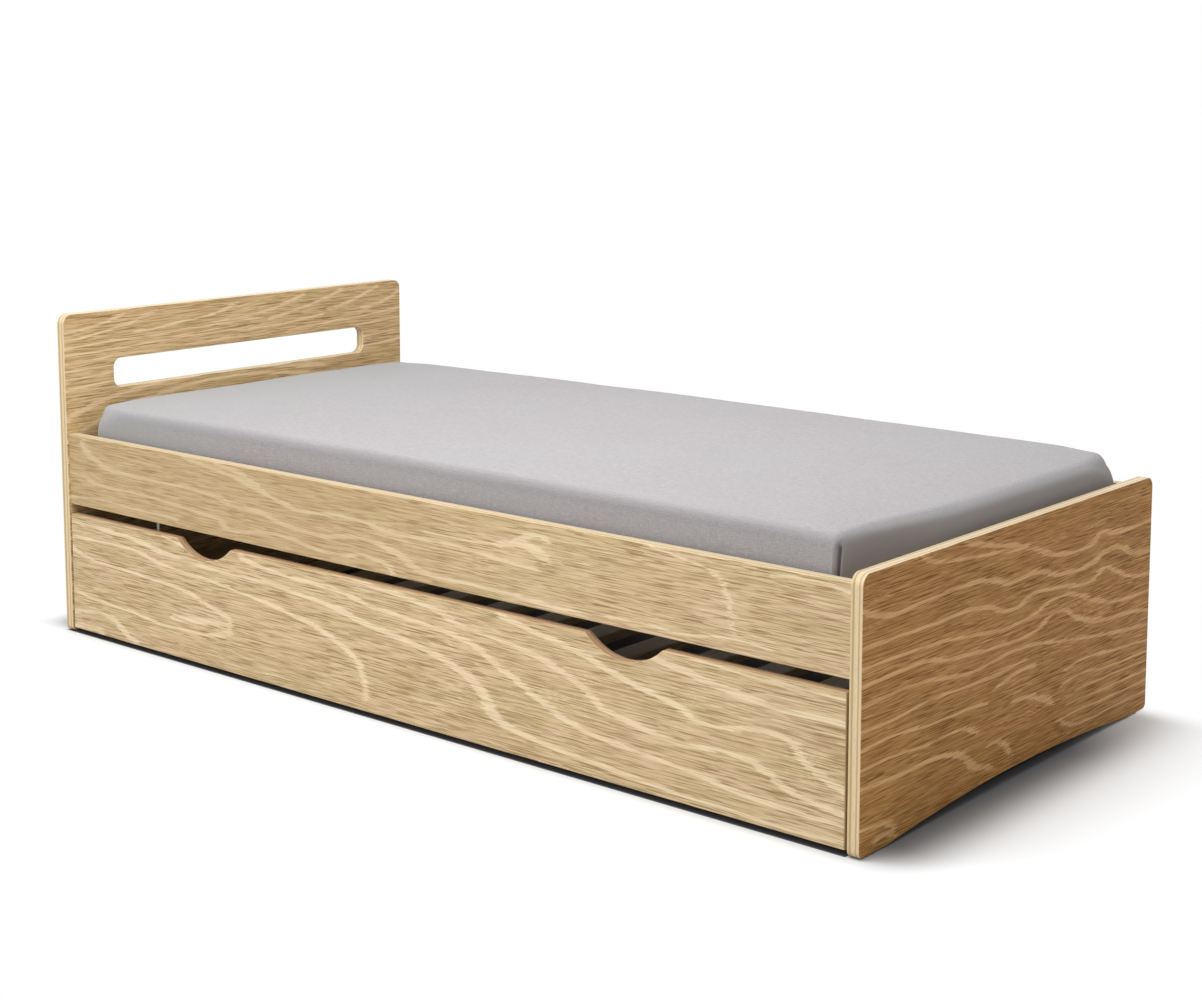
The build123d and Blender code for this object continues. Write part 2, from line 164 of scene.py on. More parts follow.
def noises(tree, vector, table, seed=0.0):
    # one noise for each row of a table: its sizes, detail, roughness and seed
    return {name: blotches(tree, vector, sizes, detail, roughness, seed + shift)
            for name, (sizes, detail, roughness, shift) in table.items()}


def swing(tree, value, amount):
    # turns noise about 0.5 into a shift of about plus or minus the amount
    return times(tree, less(tree, value, 0.5), amount * 4)


def addBump(tree, shader, height, distance, strength=1.0):
    node = tree.nodes.new("ShaderNodeBump")
    node.inputs["Strength"].default_value = strength
    node.inputs["Distance"].default_value = distance
    tree.links.new(height, node.inputs["Height"])
    tree.links.new(node.outputs[0], shader.inputs["Normal"])


# small helpers for meshes and objects

def addObject(name, data):
    obj = bpy.data.objects.new(name, data)
    bpy.context.scene.collection.objects.link(obj)
    return obj


def meshFrom(builder, name):
    mesh = bpy.data.meshes.new(name)
    builder.to_mesh(mesh)
    builder.free()
    return mesh


def finishedMesh(obj):
    # the object's mesh with its modifiers made part of it
    return bpy.data.meshes.new_from_object(obj.evaluated_get(bpy.context.evaluated_depsgraph_get()))


def makeSmooth(mesh):
    for face in mesh.polygons:
        face.use_smooth = True


# camera, floor and lights

cameraLook = {
    "place": (2.5497, -2.9292, 1.1560),    # metres
    "azimuth": 40.153,                     # degrees
    "elevation": 7.197,
    "lens": 60.99,                         # millimetres
    "shiftY": -0.1414,
}


def makeCamera():
    data = bpy.data.cameras.new("camera")
    data.sensor_width = 36.0
    data.lens = cameraLook["lens"]
    data.shift_y = cameraLook["shiftY"]
    data.clip_start, data.clip_end = 0.05, 100.0
    camera = addObject("camera", data)
    azimuth, elevation = math.radians(cameraLook["azimuth"]), math.radians(cameraLook["elevation"])
    away = Vector((
        math.sin(azimuth) * math.cos(elevation),
        -math.cos(azimuth) * math.cos(elevation),
        math.sin(elevation),
    ))
    camera.location = cameraLook["place"]
    camera.rotation_euler = (-away).to_track_quat("-Z", "Y").to_euler()
    bpy.context.scene.camera = camera


stageLook = {
    "floorRadius": 9.0,
    "floorSeen": (0.91, 0.93, 0.945, 1.0),
    "floorBounce": (0.55, 0.55, 0.55, 1.0),
    "whiteFrom": 0.25,          # metres from the bed
    "whiteTo": 0.85,
    "soonerFade": 7.0,          # times as fast past the head and at the back
    "behindFrom": 0.1,          # metres in from the back
    "sky": 0.385,
    # name, watts, size, place and the spot it points at, in metres
    "boxes": (
        ("softbox", 60.0, (1.8, 1.4), (-0.12, -1.30, 2.75), (-0.35, 0.0, 0.35)),
        ("headFill", 6.6, (0.6, 0.6), (0.70, -0.10, 2.00), (-0.95, 0.0, 0.55)),
    ),
    # name, strength, heading and spread in degrees
    "suns": (
        ("frontSun", 0.84, (0.15, 1.0, -0.40), 50.0),
        ("topSun", 0.88, (0.0, 0.05, -1.0), 50.0),
        ("backSun", 0.75, (0.7, -0.75, -0.45), 60.0),
    ),
    # the floor under the bed, in metres: deep shade that fades out towards the back
    "underShade": (0.12, 0.12, 0.13, 1.0),
    "underDeep": (0.12, 0.115, 0.125, 1.0),
    "underDeepFrom": (-0.40, -0.25),
    "underHead": (-0.990, -0.972),
    "underFoot": 0.955,
    "underFront": -0.4768,
    "underBack": (0.44, 0.18),
    # and a softer shade beside the foot board
    "besideReach": 0.165,
    "besideShade": 0.89,
    "besideFade": 1.6,
    "besideBack": (0.50, 0.15),
    "besideFront": (-0.54, -0.38),
}


def joinShaders(tree, share, first, second, output):
    mix = tree.nodes.new("ShaderNodeMixShader")
    for socket, source in zip(mix.inputs, (share, first.outputs[0], second.outputs[0])):
        tree.links.new(source, socket)
    tree.links.new(mix.outputs[0], output.inputs["Surface"])


def seenRays(tree):
    # 1 for rays that show the background: straight to the camera, mirrored or through glass
    path = tree.nodes.new("ShaderNodeLightPath")
    both = calc(tree, "MAXIMUM", path.outputs["Is Camera Ray"], path.outputs["Is Glossy Ray"])
    return calc(tree, "MAXIMUM", both, path.outputs["Is Transmission Ray"])


# the floor's colour, with painted shade under the bed and a softer painted shadow beside the foot board
def floorColour(tree, seen, x, y):
    look = stageLook
    under = calc(tree, "LESS_THAN", x, look["underFoot"])
    under = times(tree, under, ease(tree, x, *look["underHead"]))
    under = times(tree, under, calc(tree, "GREATER_THAN", y, look["underFront"]))
    under = times(tree, under, ease(tree, y, *look["underBack"]))
    plain = tint(tree, seen, look["floorBounce"], look["floorSeen"])
    beside = ease(tree, less(tree, x, cadHigh.x), look["besideReach"], 0.0)
    beside = calc(tree, "POWER", beside, look["besideFade"])
    inLine = times(tree, ease(tree, y, *look["besideBack"]), ease(tree, y, *look["besideFront"]))
    beside = times(tree, times(tree, beside, inLine), look["besideShade"])
    plain = tint(tree, beside, plain, look["underShade"])
    shade = tint(tree, ease(tree, y, *look["underDeepFrom"]), look["underShade"], look["underDeep"])
    return tint(tree, under, plain, shade)


def distanceOut(tree, x, y):
    # metres from the bed, counted faster where shadows should fade sooner
    sooner = stageLook["soonerFade"]

    def beyond(value, start):
        return calc(tree, "MAXIMUM", less(tree, value, start), 0.0)

    outX = beyond(x, cadHigh.x)
    pastHead = beyond(times(tree, x, -1.0), cadHigh.x)
    outX = plus(tree, outX, times(tree, pastHead, sooner))
    outY = beyond(times(tree, y, -1.0), cadHigh.y)
    behind = beyond(y, cadHigh.y - stageLook["behindFrom"])
    outY = plus(tree, outY, times(tree, behind, sooner))
    return calc(tree, "SQRT", plus(tree, calc(tree, "POWER", outX, 2.0), calc(tree, "POWER", outY, 2.0)))


def paleFloor():
    material = bpy.data.materials.new("paleFloor")
    tree = emptyTree(material)
    output = tree.nodes.new("ShaderNodeOutputMaterial")
    seen = seenRays(tree)
    diffuse = tree.nodes.new("ShaderNodeBsdfDiffuse")
    white = tree.nodes.new("ShaderNodeEmission")
    coords = tree.nodes.new("ShaderNodeTexCoord")
    x, y, _ = partsOf(tree, coords.outputs["Object"])
    feed(tree, diffuse.inputs["Color"], floorColour(tree, seen, x, y))
    # far out the floor turns into the plain white background
    away = distanceOut(tree, x, y)
    share = times(tree, ease(tree, away, stageLook["whiteFrom"], stageLook["whiteTo"]), seen)
    joinShaders(tree, share, diffuse, white, output)
    return material


def makeFloor():
    builder = bmesh.new()
    bmesh.ops.create_circle(builder, cap_ends=True, segments=96, radius=stageLook["floorRadius"])
    mesh = meshFrom(builder, "floor")
    mesh.materials.append(paleFloor())
    floor = addObject("floor", mesh)


def makeSky():
    world = bpy.data.worlds.new("studio")
    bpy.context.scene.world = world
    tree = emptyTree(world)
    output = tree.nodes.new("ShaderNodeOutputWorld")
    lighting, background = (tree.nodes.new("ShaderNodeBackground") for _ in range(2))
    lighting.inputs["Strength"].default_value = stageLook["sky"]
    background.inputs["Strength"].default_value = 1.0
    for node in (lighting, background):
        node.inputs["Color"].default_value = (1.0, 1.0, 1.0, 1.0)
    joinShaders(tree, seenRays(tree), lighting, background, output)


def makeLights():
    look = stageLook
    for name, power, size, place, target in look["boxes"]:
        data = bpy.data.lights.new(name, "AREA")
        data.shape = "RECTANGLE"
        data.size, data.size_y = size
        data.energy = power
        lamp = addObject(name, data)
        lamp.location = place
        lamp.rotation_euler = (Vector(target) - lamp.location).to_track_quat("-Z", "Y").to_euler()
    for name, strength, heading, spread in look["suns"]:
        data = bpy.data.lights.new(name, "SUN")
        data.energy = strength
        data.angle = math.radians(spread)
        sun = addObject(name, data)
        sun.rotation_euler = Vector(heading).to_track_quat("-Z", "Y").to_euler()


makeCamera()
makeFloor()
makeSky()
makeLights()
bpy.context.scene.view_settings.view_transform = "Standard"
print("camera, floor and lights ready")


# oak veneered plywood: sizes in millimetres, grain runs along each board

oakTones = {
    "olive": srgb(202, 178, 136),
    "rose": srgb(208, 182, 145),
    "streak": srgb(170, 142, 99),
    "pale": srgb(231, 211, 174),
    "paleRose": srgb(232, 207, 172),
    "pore": srgb(138, 108, 68),
}
# the footboard's outer face: partly a warmer leaf, partly painted warm shade
warmTones = {
    "olive": srgb(190, 139, 73),
    "rose": srgb(196, 140, 77),
    "streak": srgb(160, 109, 56),
    "pale": srgb(235, 187, 126),
    "paleRose": srgb(234, 183, 125),
    "pore": srgb(118, 75, 34),
}
headTones = {
    "olive": srgb(214, 184, 134),
    "rose": srgb(219, 185, 138),
    "streak": srgb(178, 143, 92),
    "pale": srgb(240, 213, 168),
    "paleRose": srgb(238, 206, 164),
    "pore": srgb(138, 103, 58),
}

# "wobble" is how far the lines wander, "thin" the share of its height that each line keeps,
# "beside" the spacing of the fainter lines, "faint" their strength, and "lean" a darker end;
# each growth line is (half its height, half its length where it turns steep, points along and up)
oakFigure = {
    "trundle_front": {
        "grain": "X", "tones": oakTones, "seed": 3.1,
        "wobble": 2.6, "thin": 0.58, "beside": 6.5, "faint": 0.50,
        "lines": [
            (4.0, 10, [(-960, 182), (-875, 163), (-720, 157), (-600, 150), (-520, 133), (-455, 113),
                       (-438, 98)]),
            (3.6, 10, [(-960, 92), (-860, 81), (-760, 77), (-600, 68), (-500, 74), (-455, 86),
                       (-438, 100)]),
            (8.0, 14, [(-640, 88), (-560, 92), (-500, 98), (-440, 100)]),
            (4.0, 9, [(-960, 203), (-853, 210), (-753, 207), (-650, 190), (-450, 178), (-250, 152),
                      (-150, 127), (-95, 98), (-70, 10)]),
            (4.5, 14, [(-960, 238), (-753, 228), (-640, 211), (-253, 199), (-53, 172), (147, 137),
                       (215, 103), (245, 66), (300, 50), (450, 35), (700, 22), (960, 20)]),
            (5.0, 8, [(-430, 252), (-353, 231), (-153, 222), (-53, 206), (107, 197), (280, 148),
                      (347, 118), (447, 85), (680, 66), (780, 52), (960, 47)]),
            (5.0, 8, [(-120, 250), (0, 240), (100, 232), (160, 214), (320, 195), (450, 154), (490, 130),
                      (647, 108), (740, 113), (860, 77), (960, 62)]),
            (5.0, 8, [(240, 248), (400, 220), (547, 187), (640, 168), (700, 149), (800, 160), (855, 155),
                      (875, 130), (960, 98)]),
            (8.0, 8, [(560, 240), (650, 226), (720, 214), (800, 205), (945, 203)]),
            (2.5, 8, [(650, 250), (760, 246), (960, 238)]),
            (5.0, 8, [(-960, 42), (-900, 50), (-850, 53), (-815, 46), (-780, 26), (-730, 8)]),
            (7.0, 8, [(-960, 14), (-900, 19), (-845, 8)]),
            (3.0, 8, [(-660, 246), (-600, 238), (-540, 222)]),
        ],
    },
    "front_rail": {
        "grain": "X", "tones": oakTones, "seed": 5.7,
        "wobble": 2.2, "thin": 0.55, "beside": 6.5, "faint": 0.48,
        "lean": (-300.0, 500.0, 0.42),
        "lines": [
            (5.0, 10, [(-925, 420), (-905, 392), (-870, 374), (-800, 358), (-480, 350), (-440, 337),
                       (-370, 336), (-300, 322), (-200, 317), (-90, 327), (0, 315), (92, 289),
                       (300, 285), (450, 278)]),
            (4.5, 8, [(-600, 416), (-458, 397), (-358, 377), (-290, 362), (-250, 354), (-120, 360),
                      (0, 350), (180, 350), (260, 342), (350, 337)]),
            (3.5, 8, [(-500, 418), (-410, 399), (-340, 376)]),
            (3.5, 12, [(60, 366), (220, 366), (290, 376), (345, 396), (372, 380)]),
            (8.0, 14, [(240, 366), (300, 374), (345, 366), (372, 348)]),
            (4.5, 8, [(-960, 339), (-900, 335), (-870, 325), (-700, 320), (-550, 311), (-480, 307),
                      (-450, 290), (-320, 300), (-150, 286), (-80, 296), (0, 271)]),
            (3.5, 8, [(-960, 287), (-858, 292), (-758, 288), (-650, 288), (-600, 278)]),
            (1.8, 4, [(560, 419), (640, 406), (700, 395), (726, 370), (738, 330), (745, 268)]),
            (3.0, 8, [(800, 400), (880, 408), (960, 401)]),
            (2.5, 8, [(480, 281), (560, 288), (640, 283), (742, 292), (830, 287)]),
        ],
    },
    "footboard": {
        "grain": "Y", "tones": warmTones, "seed": 21.3,
        "wobble": 1.5, "thin": 0.54, "beside": 6.0, "faint": 0.52,
        "lines": [
            (4.5, 6, [(-320, 436), (-290, 420), (-250, 411), (-120, 398), (-30, 388), (10, 384)]),
            (5.5, 6, [(-190, 427), (-100, 410), (22, 383), (122, 353), (240, 350), (280, 364),
                      (330, 356), (480, 355)]),
            (5.5, 6, [(-480, 378), (-400, 358), (-330, 359), (-100, 352), (-50, 338), (50, 338),
                      (122, 320), (240, 315), (290, 328), (350, 327), (400, 306), (480, 297)]),
            (4.5, 6, [(-480, 321), (-300, 319), (-100, 309), (-60, 293), (-10, 290), (20, 301),
                      (122, 297), (255, 285), (295, 299), (340, 284), (380, 268), (480, 252)]),
            (4.0, 6, [(-480, 291), (-300, 288), (-178, 277), (-78, 264), (40, 265), (110, 280),
                      (190, 272), (250, 250), (322, 233), (480, 222)]),
            (4.5, 6, [(-480, 263), (-300, 263), (-210, 248), (-78, 238), (50, 238), (110, 254),
                      (155, 251), (185, 234), (280, 208), (400, 198), (480, 185)]),
            (4.0, 6, [(-480, 233), (-300, 232), (-200, 218), (-150, 214), (-20, 219), (60, 214),
                      (122, 203), (300, 178), (480, 160)]),
            (3.5, 6, [(-480, 199), (-400, 195), (-278, 199), (-100, 192), (30, 199)]),
            (3.5, 6, [(-480, 167), (-380, 170), (-300, 162), (-178, 157), (-100, 149)]),
            (4.0, 6, [(-90, 168), (-40, 177), (0, 181), (60, 176)]),
            (3.5, 6, [(150, 144), (222, 150), (322, 143), (480, 130)]),
            (3.5, 6, [(-480, 138), (-380, 138), (-300, 131), (-178, 127), (-150, 117), (-132, 108)]),
            (5.5, 8, [(-480, 109), (-380, 104), (-240, 98), (-178, 80), (-150, 58), (-78, 38)]),
            (3.5, 8, [(-110, 78), (-60, 77), (-45, 64), (-20, 44)]),
            (5.0, 8, [(-30, 133), (22, 130), (60, 120), (125, 94)]),
            (2.8, 6, [(140, 119), (222, 127), (300, 118), (480, 110)]),
            (2.5, 6, [(190, 101), (300, 99), (480, 93)]),
            (2.8, 6, [(160, 84), (222, 82), (300, 78), (480, 75)]),
            (2.8, 6, [(120, 63), (222, 62), (322, 58), (480, 55)]),
            (3.0, 6, [(140, 68), (165, 49), (222, 38), (322, 36), (480, 36)]),
            (4.0, 6, [(-480, 45), (-430, 40), (-400, 35), (-372, 12)]),
            (5.0, 6, [(-445, 16), (-400, 20), (-370, 8)]),
        ],
    },
    "headboard": {
        "grain": "Y", "tones": headTones, "seed": 30.6,
        "wobble": 2.0, "thin": 0.80, "beside": 5.5, "faint": 0.58,
        "lines": [
            (2.2, 6, [(-480, 627), (-378, 640), (-325, 656)]),
            (2.0, 6, [(-480, 610), (-400, 618), (-300, 636), (-240, 655)]),
            (2.2, 6, [(-310, 613), (-178, 622), (-80, 634), (-20, 652)]),
            (2.4, 6, [(-100, 612), (22, 620), (100, 633), (185, 657)]),
            (2.2, 6, [(60, 606), (200, 628), (250, 641), (300, 658)]),
            (2.2, 6, [(240, 612), (322, 626), (370, 642), (410, 658)]),
            (2.4, 6, [(340, 607), (422, 616), (480, 640)]),
            (1.8, 6, [(-480, 594), (-378, 599), (-178, 603), (60, 612)]),
            (1.8, 6, [(-480, 578), (-300, 584), (-100, 590), (100, 592), (240, 602)]),
            (1.8, 6, [(-480, 562), (-378, 566), (-150, 572), (80, 575)]),
            (2.0, 6, [(120, 575), (260, 582), (380, 590), (480, 596)]),
            (1.8, 6, [(330, 566), (400, 571), (480, 576)]),
            (1.8, 6, [(-480, 546), (-350, 548)]),
            (1.8, 6, [(-480, 528), (-360, 533)]),
            (2.2, 6, [(330, 538), (400, 541), (480, 545)]),
            (2.2, 6, [(330, 516), (400, 519), (480, 524)]),
            (2.2, 6, [(-480, 505), (-420, 511), (-350, 515)]),
            (4.0, 8, [(-480, 440), (-410, 470), (-330, 486), (-178, 501), (0, 509), (122, 496),
                      (240, 484)]),
            (3.0, 6, [(-480, 400), (-380, 440), (-250, 470), (0, 490), (200, 470), (480, 440)]),
            (3.0, 6, [(-480, 360), (-350, 400), (-150, 436), (100, 446), (300, 425), (480, 395)]),
            (3.0, 6, [(-480, 320), (-300, 365), (-100, 396), (100, 402), (300, 380), (480, 350)]),
            (3.5, 6, [(-480, 282), (-280, 322), (-60, 352), (140, 352), (480, 305)]),
            (3.5, 6, [(-480, 240), (-240, 280), (0, 305), (220, 296), (480, 262)]),
            (4.0, 6, [(-480, 196), (-200, 236), (40, 256), (260, 240), (480, 215)]),
            (4.0, 6, [(-480, 150), (-180, 186), (60, 204), (300, 186), (480, 165)]),
            (4.5, 6, [(-480, 102), (-150, 136), (80, 150), (300, 132), (480, 118)]),
            (5.0, 6, [(-480, 52), (-120, 82), (100, 94), (300, 80), (480, 70)]),
        ],
    },
}
oakFigure["back_rail"] = dict(oakFigure["front_rail"], seed=12.9, mirrored=True)
oakFigure["trundle_back"] = dict(oakFigure["trundle_front"], seed=8.4, mirrored=True)
# noises on a leaf of veneer: sizes along the grain, up and through it, detail, roughness, seed
veneerNoise = {
    "jags": ((60.0, 2.2, 9.0), 2.0, 0.6, 0),
    "longStreaks": ((170.0, 4.6, 30.0), 3.0, 0.62, 4),
    "fineStreaks": ((90.0, 2.5, 12.0), 1.0, 0.6, 6),
    "slow": ((190.0, 60.0, 60.0), 1.0, 0.4, 9),
    "quick": ((46.0, 17.0, 40.0), 2.0, 0.5, 13),
    "strong": ((130.0, 24.0, 40.0), 2.0, 0.5, 17),
    "linePatches": ((210.0, 30.0, 40.0), 2.0, 0.5, 36),
    "hue": ((230.0, 46.0, 50.0), 2.0, 0.5, 21),
    "pores": ((62.0, 1.7, 5.0), 1.0, 0.6, 27),
    "porePatches": ((170.0, 34.0, 40.0), 2.0, 0.5, 31),
}
# how far the grain is shifted along itself, and how strongly each part of the figure shows
veneer = {
    "ragged": 14.0,
    "halo": 0.14,
    "darkStreak": 0.10,
    "paleStreak": 0.08,
    "thinDark": 0.50,
    "paleFibre": 0.20,
    "pore": 0.76,
    "keepOff": 0.75,
}
# layers across a board's edge, as (share of its thickness, colour)
plyEdge = {
    "layers": [
        (0.00, srgb(206, 180, 138)), (0.06, srgb(216, 193, 152)), (0.17, srgb(212, 188, 148)),
        (0.20, srgb(182, 156, 114)), (0.31, srgb(186, 160, 118)), (0.35, srgb(218, 197, 158)),
        (0.64, srgb(222, 201, 163)), (0.68, srgb(190, 165, 124)), (0.77, srgb(192, 167, 127)),
        (0.81, srgb(221, 198, 161)), (0.95, srgb(224, 200, 164)), (1.00, srgb(206, 178, 138)),
    ],
    "fleck": srgb(160, 130, 90),
    # painted shade: a darker, cooler tint for upward-facing ply edges
    "upward": (0.81, 0.84, 0.91, 1.0),
    # painted shade on the trundle's hand edge and scoops
    "paintedEdgeShade": srgb(168, 124, 88),
    "paintedEdgeShadeShare": 0.60,
}


def lineHeight(tree, spots, share):
    # how high a growth line stands at each place along the board, both as shares
    node = tree.nodes.new("ShaderNodeFloatCurve")
    curve = node.mapping.curves[0]
    curve.points[0].location = spots[0]
    curve.points[1].location = spots[-1]
    for spot in spots[1:-1]:
        curve.points.new(*spot)
    node.mapping.extend = "HORIZONTAL"
    node.mapping.update()
    feed(tree, node.inputs["Value"], share)
    return node.outputs[0]


def growthLines(tree, figure, along, up):
    # the distance to the nearest growth line in millimetres, below zero inside it
    spots = [spot for _, _, points in figure["lines"] for spot in points]
    firstAlong, lowUp = (min(places) for places in zip(*spots))
    lastAlong, highUp = (max(places) for places in zip(*spots))
    length, rise = lastAlong - firstAlong, highUp - lowUp
    share = calc(tree, "DIVIDE", less(tree, along, firstAlong), length)
    height = calc(tree, "DIVIDE", less(tree, up, lowUp), rise)
    nearest = None
    for thick, reach, points in figure["lines"]:
        placed = [((a - firstAlong) / length, (u - lowUp) / rise) for a, u in points]
        ends = [lineHeight(tree, placed, plus(tree, share, step / length)) for step in (-reach, reach)]
        # a line fades upward and ends sharply below
        above = times(tree, less(tree, height, calc(tree, "MAXIMUM", *ends)), 0.75)
        below = less(tree, calc(tree, "MINIMUM", *ends), height)
        away = times(tree, calc(tree, "MAXIMUM", above, below), rise)
        away = less(tree, away, thick * figure["thin"])
        for end, outward in ((placed[0][0], -1), (placed[-1][0], 1)):
            if 0.01 < end < 0.99:
                # it stops within the board, so it fades out there
                start, stop = end - 0.008 * outward, end + 0.012 * outward
                away = plus(tree, away, ease(tree, share, start, stop, 0.0, 30.0))
        nearest = away if nearest is None else calc(tree, "MINIMUM", nearest, away)
    return nearest


def leafLines(tree, figure, marks, along, up):
    # the pale growth lines, and the halo and fainter lines beside them
    wobble = figure["wobble"]
    # a line's jagged edge comes from shifting the grain along itself
    ragged = plus(tree, along, swing(tree, marks["jags"], veneer["ragged"]))
    height = plus(tree, up, swing(tree, marks["slow"], wobble))
    height = plus(tree, height, swing(tree, marks["quick"], wobble * 0.45))
    distance = growthLines(tree, figure, ragged, height)
    distance = plus(tree, distance, swing(tree, marks["jags"], 0.8))
    distance = plus(tree, distance, swing(tree, marks["quick"], wobble * 0.30))
    strength = ease(tree, marks["strong"], 0.30, 0.50, 0.80, 1.0)
    strength = times(tree, strength, ease(tree, marks["fineStreaks"], 0.62, 0.44, 0.80, 1.0))
    band = times(tree, ease(tree, distance, 0.7, -0.8), strength)
    halo = times(tree, ease(tree, distance, 14.0, 0.0), veneer["halo"])
    turns = times(tree, distance, math.tau / figure["beside"])
    turns = plus(tree, turns, swing(tree, marks["slow"], 1.6))
    thinLines = ease(tree, calc(tree, "SINE", turns), 0.30, 0.92)
    thinLines = times(tree, thinLines, ease(tree, marks["linePatches"], 0.42, 0.62))
    halo = calc(tree, "MAXIMUM", halo, times(tree, thinLines, figure["faint"]))
    return band, halo


def veneerColour(tree, figure, along, up, depth):
    tones = figure["tones"]
    marks = noises(tree, vectorOf(tree, along, up, depth), veneerNoise, figure["seed"])
    longStreaks, fineStreaks = marks["longStreaks"], marks["fineStreaks"]
    band, halo = leafLines(tree, figure, marks, along, up)
    hue = ease(tree, marks["hue"], 0.38, 0.62)
    colour = tint(tree, hue, tones["olive"], tones["rose"])
    light = tint(tree, hue, tones["pale"], tones["paleRose"])
    dark = times(tree, ease(tree, longStreaks, 0.50, 0.62), veneer["darkStreak"])
    colour = tint(tree, dark, colour, tones["streak"])
    pale = times(tree, ease(tree, longStreaks, 0.48, 0.36), veneer["paleStreak"])
    colour = tint(tree, pale, colour, light)
    colour = tint(tree, calc(tree, "MAXIMUM", band, halo), colour, light)
    # thin lines of pores and paler fibre between them
    keepOff = less(tree, 1.0, times(tree, band, veneer["keepOff"]))
    thinDark = times(tree, ease(tree, fineStreaks, 0.51, 0.59), keepOff)
    colour = tint(tree, times(tree, thinDark, veneer["thinDark"]), colour, tones["streak"])
    fibre = times(tree, ease(tree, fineStreaks, 0.46, 0.36), veneer["paleFibre"])
    colour = tint(tree, fibre, colour, light)
    pore = times(tree, ease(tree, marks["pores"], 0.54, 0.61), keepOff)
    pore = times(tree, pore, ease(tree, marks["porePatches"], 0.38, 0.62, 0.74, 1.0))
    colour = tint(tree, times(tree, pore, veneer["pore"]), colour, tones["pore"])
    return colour, pore, band


def plyColour(tree, along, up, share):
    look = plyEdge
    edge = vectorOf(tree, along, up, times(tree, share, 20.0))
    waver = swing(tree, blotches(tree, edge, (120.0, 120.0, 9.0), 2.0, 0.5, 2.0), 0.016)
    ramp = tree.nodes.new("ShaderNodeValToRGB")
    stops = ramp.color_ramp.elements
    for place, _ in look["layers"][1:-1]:
        stops.new(place)
    for stop, (place, colour) in zip(stops, look["layers"]):
        stop.position, stop.color = place, colour
    feed(tree, ramp.inputs[0], plus(tree, share, waver))
    specks = blotches(tree, edge, (16.0, 16.0, 1.0), 3.0, 0.6, 6.0)
    fleck = times(tree, ease(tree, specks, 0.52, 0.70), 0.30)
    return tint(tree, fleck, ramp.outputs[0], look["fleck"]), specks


def oakBoard(node):
    figure = oakFigure[node]
    low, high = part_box(node)
    material, tree, shader = newMaterial("oak_" + node)
    coords = tree.nodes.new("ShaderNodeTexCoord")
    x, y, z = placeOnPiece(tree, coords)
    normalX, normalY, normalZ = partsOf(tree, coords.outputs["Normal"])
    if figure["grain"] == "X":
        along, depth, facing, axis = x, y, times(tree, normalY, -1.0), 1
    else:
        along, depth, facing, axis = y, x, normalX, 0
    front, back = low[axis] * 1000, high[axis] * 1000
    # the leaf on the back of a board runs the other way
    turned = times(tree, along, calc(tree, "SIGN", facing))
    up = z
    if figure.get("mirrored"):
        spots = [u for _, _, points in figure["lines"] for _, u in points]
        turned = times(tree, turned, -1.0)
        up = less(tree, min(spots) + max(spots), z)
    if node == "footboard":
        # the outer leaf is warmer and darker than the inner: partly its own tone, partly painted warm
        # shade on that face
        outer = ease(tree, facing, -0.2, 0.2)
        tones = {name: tint(tree, outer, oakTones[name], warmTones[name]) for name in oakTones}
        figure = dict(figure, tones=tones)
    colour, pore, band = veneerColour(tree, figure, turned, up, depth)
    if "lean" in figure:
        start, end, share = figure["lean"]
        colour = tint(tree, ease(tree, turned, start, end, share, 0.0), colour, figure["tones"]["streak"])
    edge, specks = plyColour(tree, along, z, calc(tree, "DIVIDE", less(tree, depth, front), back - front))
    # upward-facing ply edges are darkened: painted shade, standing in for the rail above the trundle's top
    # edge
    upward = tint(tree, 1.0, edge, plyEdge["upward"], "MULTIPLY")
    edge = tint(tree, ease(tree, normalZ, 0.4, 0.95), edge, upward)
    if node == "trundle_front":
        # the hand edge and its scoops are painted browner and darker: painted shade under the rail and
        # inside the scoops
        paintedEdgeShade = ease(tree, normalZ, 0.05, 0.35, 0.0, plyEdge["paintedEdgeShadeShare"])
        edge = tint(tree, paintedEdgeShade, edge, plyEdge["paintedEdgeShade"])
    onFace = ease(tree, calc(tree, "ABSOLUTE", facing), 0.62, 0.78)
    feed(tree, shader.inputs["Base Color"], tint(tree, onFace, edge, colour))
    shader.inputs["Specular IOR Level"].default_value = 0.14
    rough = plus(tree, 0.52, times(tree, pore, 0.22))
    feed(tree, shader.inputs["Roughness"], less(tree, rough, times(tree, band, 0.06)))
    relief = tree.nodes.new("ShaderNodeMix")
    feed(tree, relief.inputs[0], onFace)
    feed(tree, relief.inputs[2], times(tree, specks, -0.6))
    feed(tree, relief.inputs[3], times(tree, pore, -1.0))
    addBump(tree, shader, relief.outputs[0], 0.00025, 0.7)
    return material


# plain timber, metal, plastic and rubber

timbers = {
    "pine": {
        "pale": srgb(199, 178, 142), "late": srgb(170, 137, 93), "knot": srgb(128, 88, 54),
        "spacing": 6.5, "seed": 41.0,
    },
    "beech": {
        "pale": srgb(206, 172, 130), "late": srgb(178, 138, 96), "knot": srgb(150, 110, 72),
        "spacing": 3.0, "seed": 52.0,
    },
}
timberNoise = {
    "drift": ((420.0, 46.0, 46.0), 1.0, 0.5, 0),
    "fine": ((40.0, 1.2, 1.2), 3.0, 0.6, 5),
    "knots": ((46.0, 15.0, 15.0), 0.0, 0.0, 8),
}


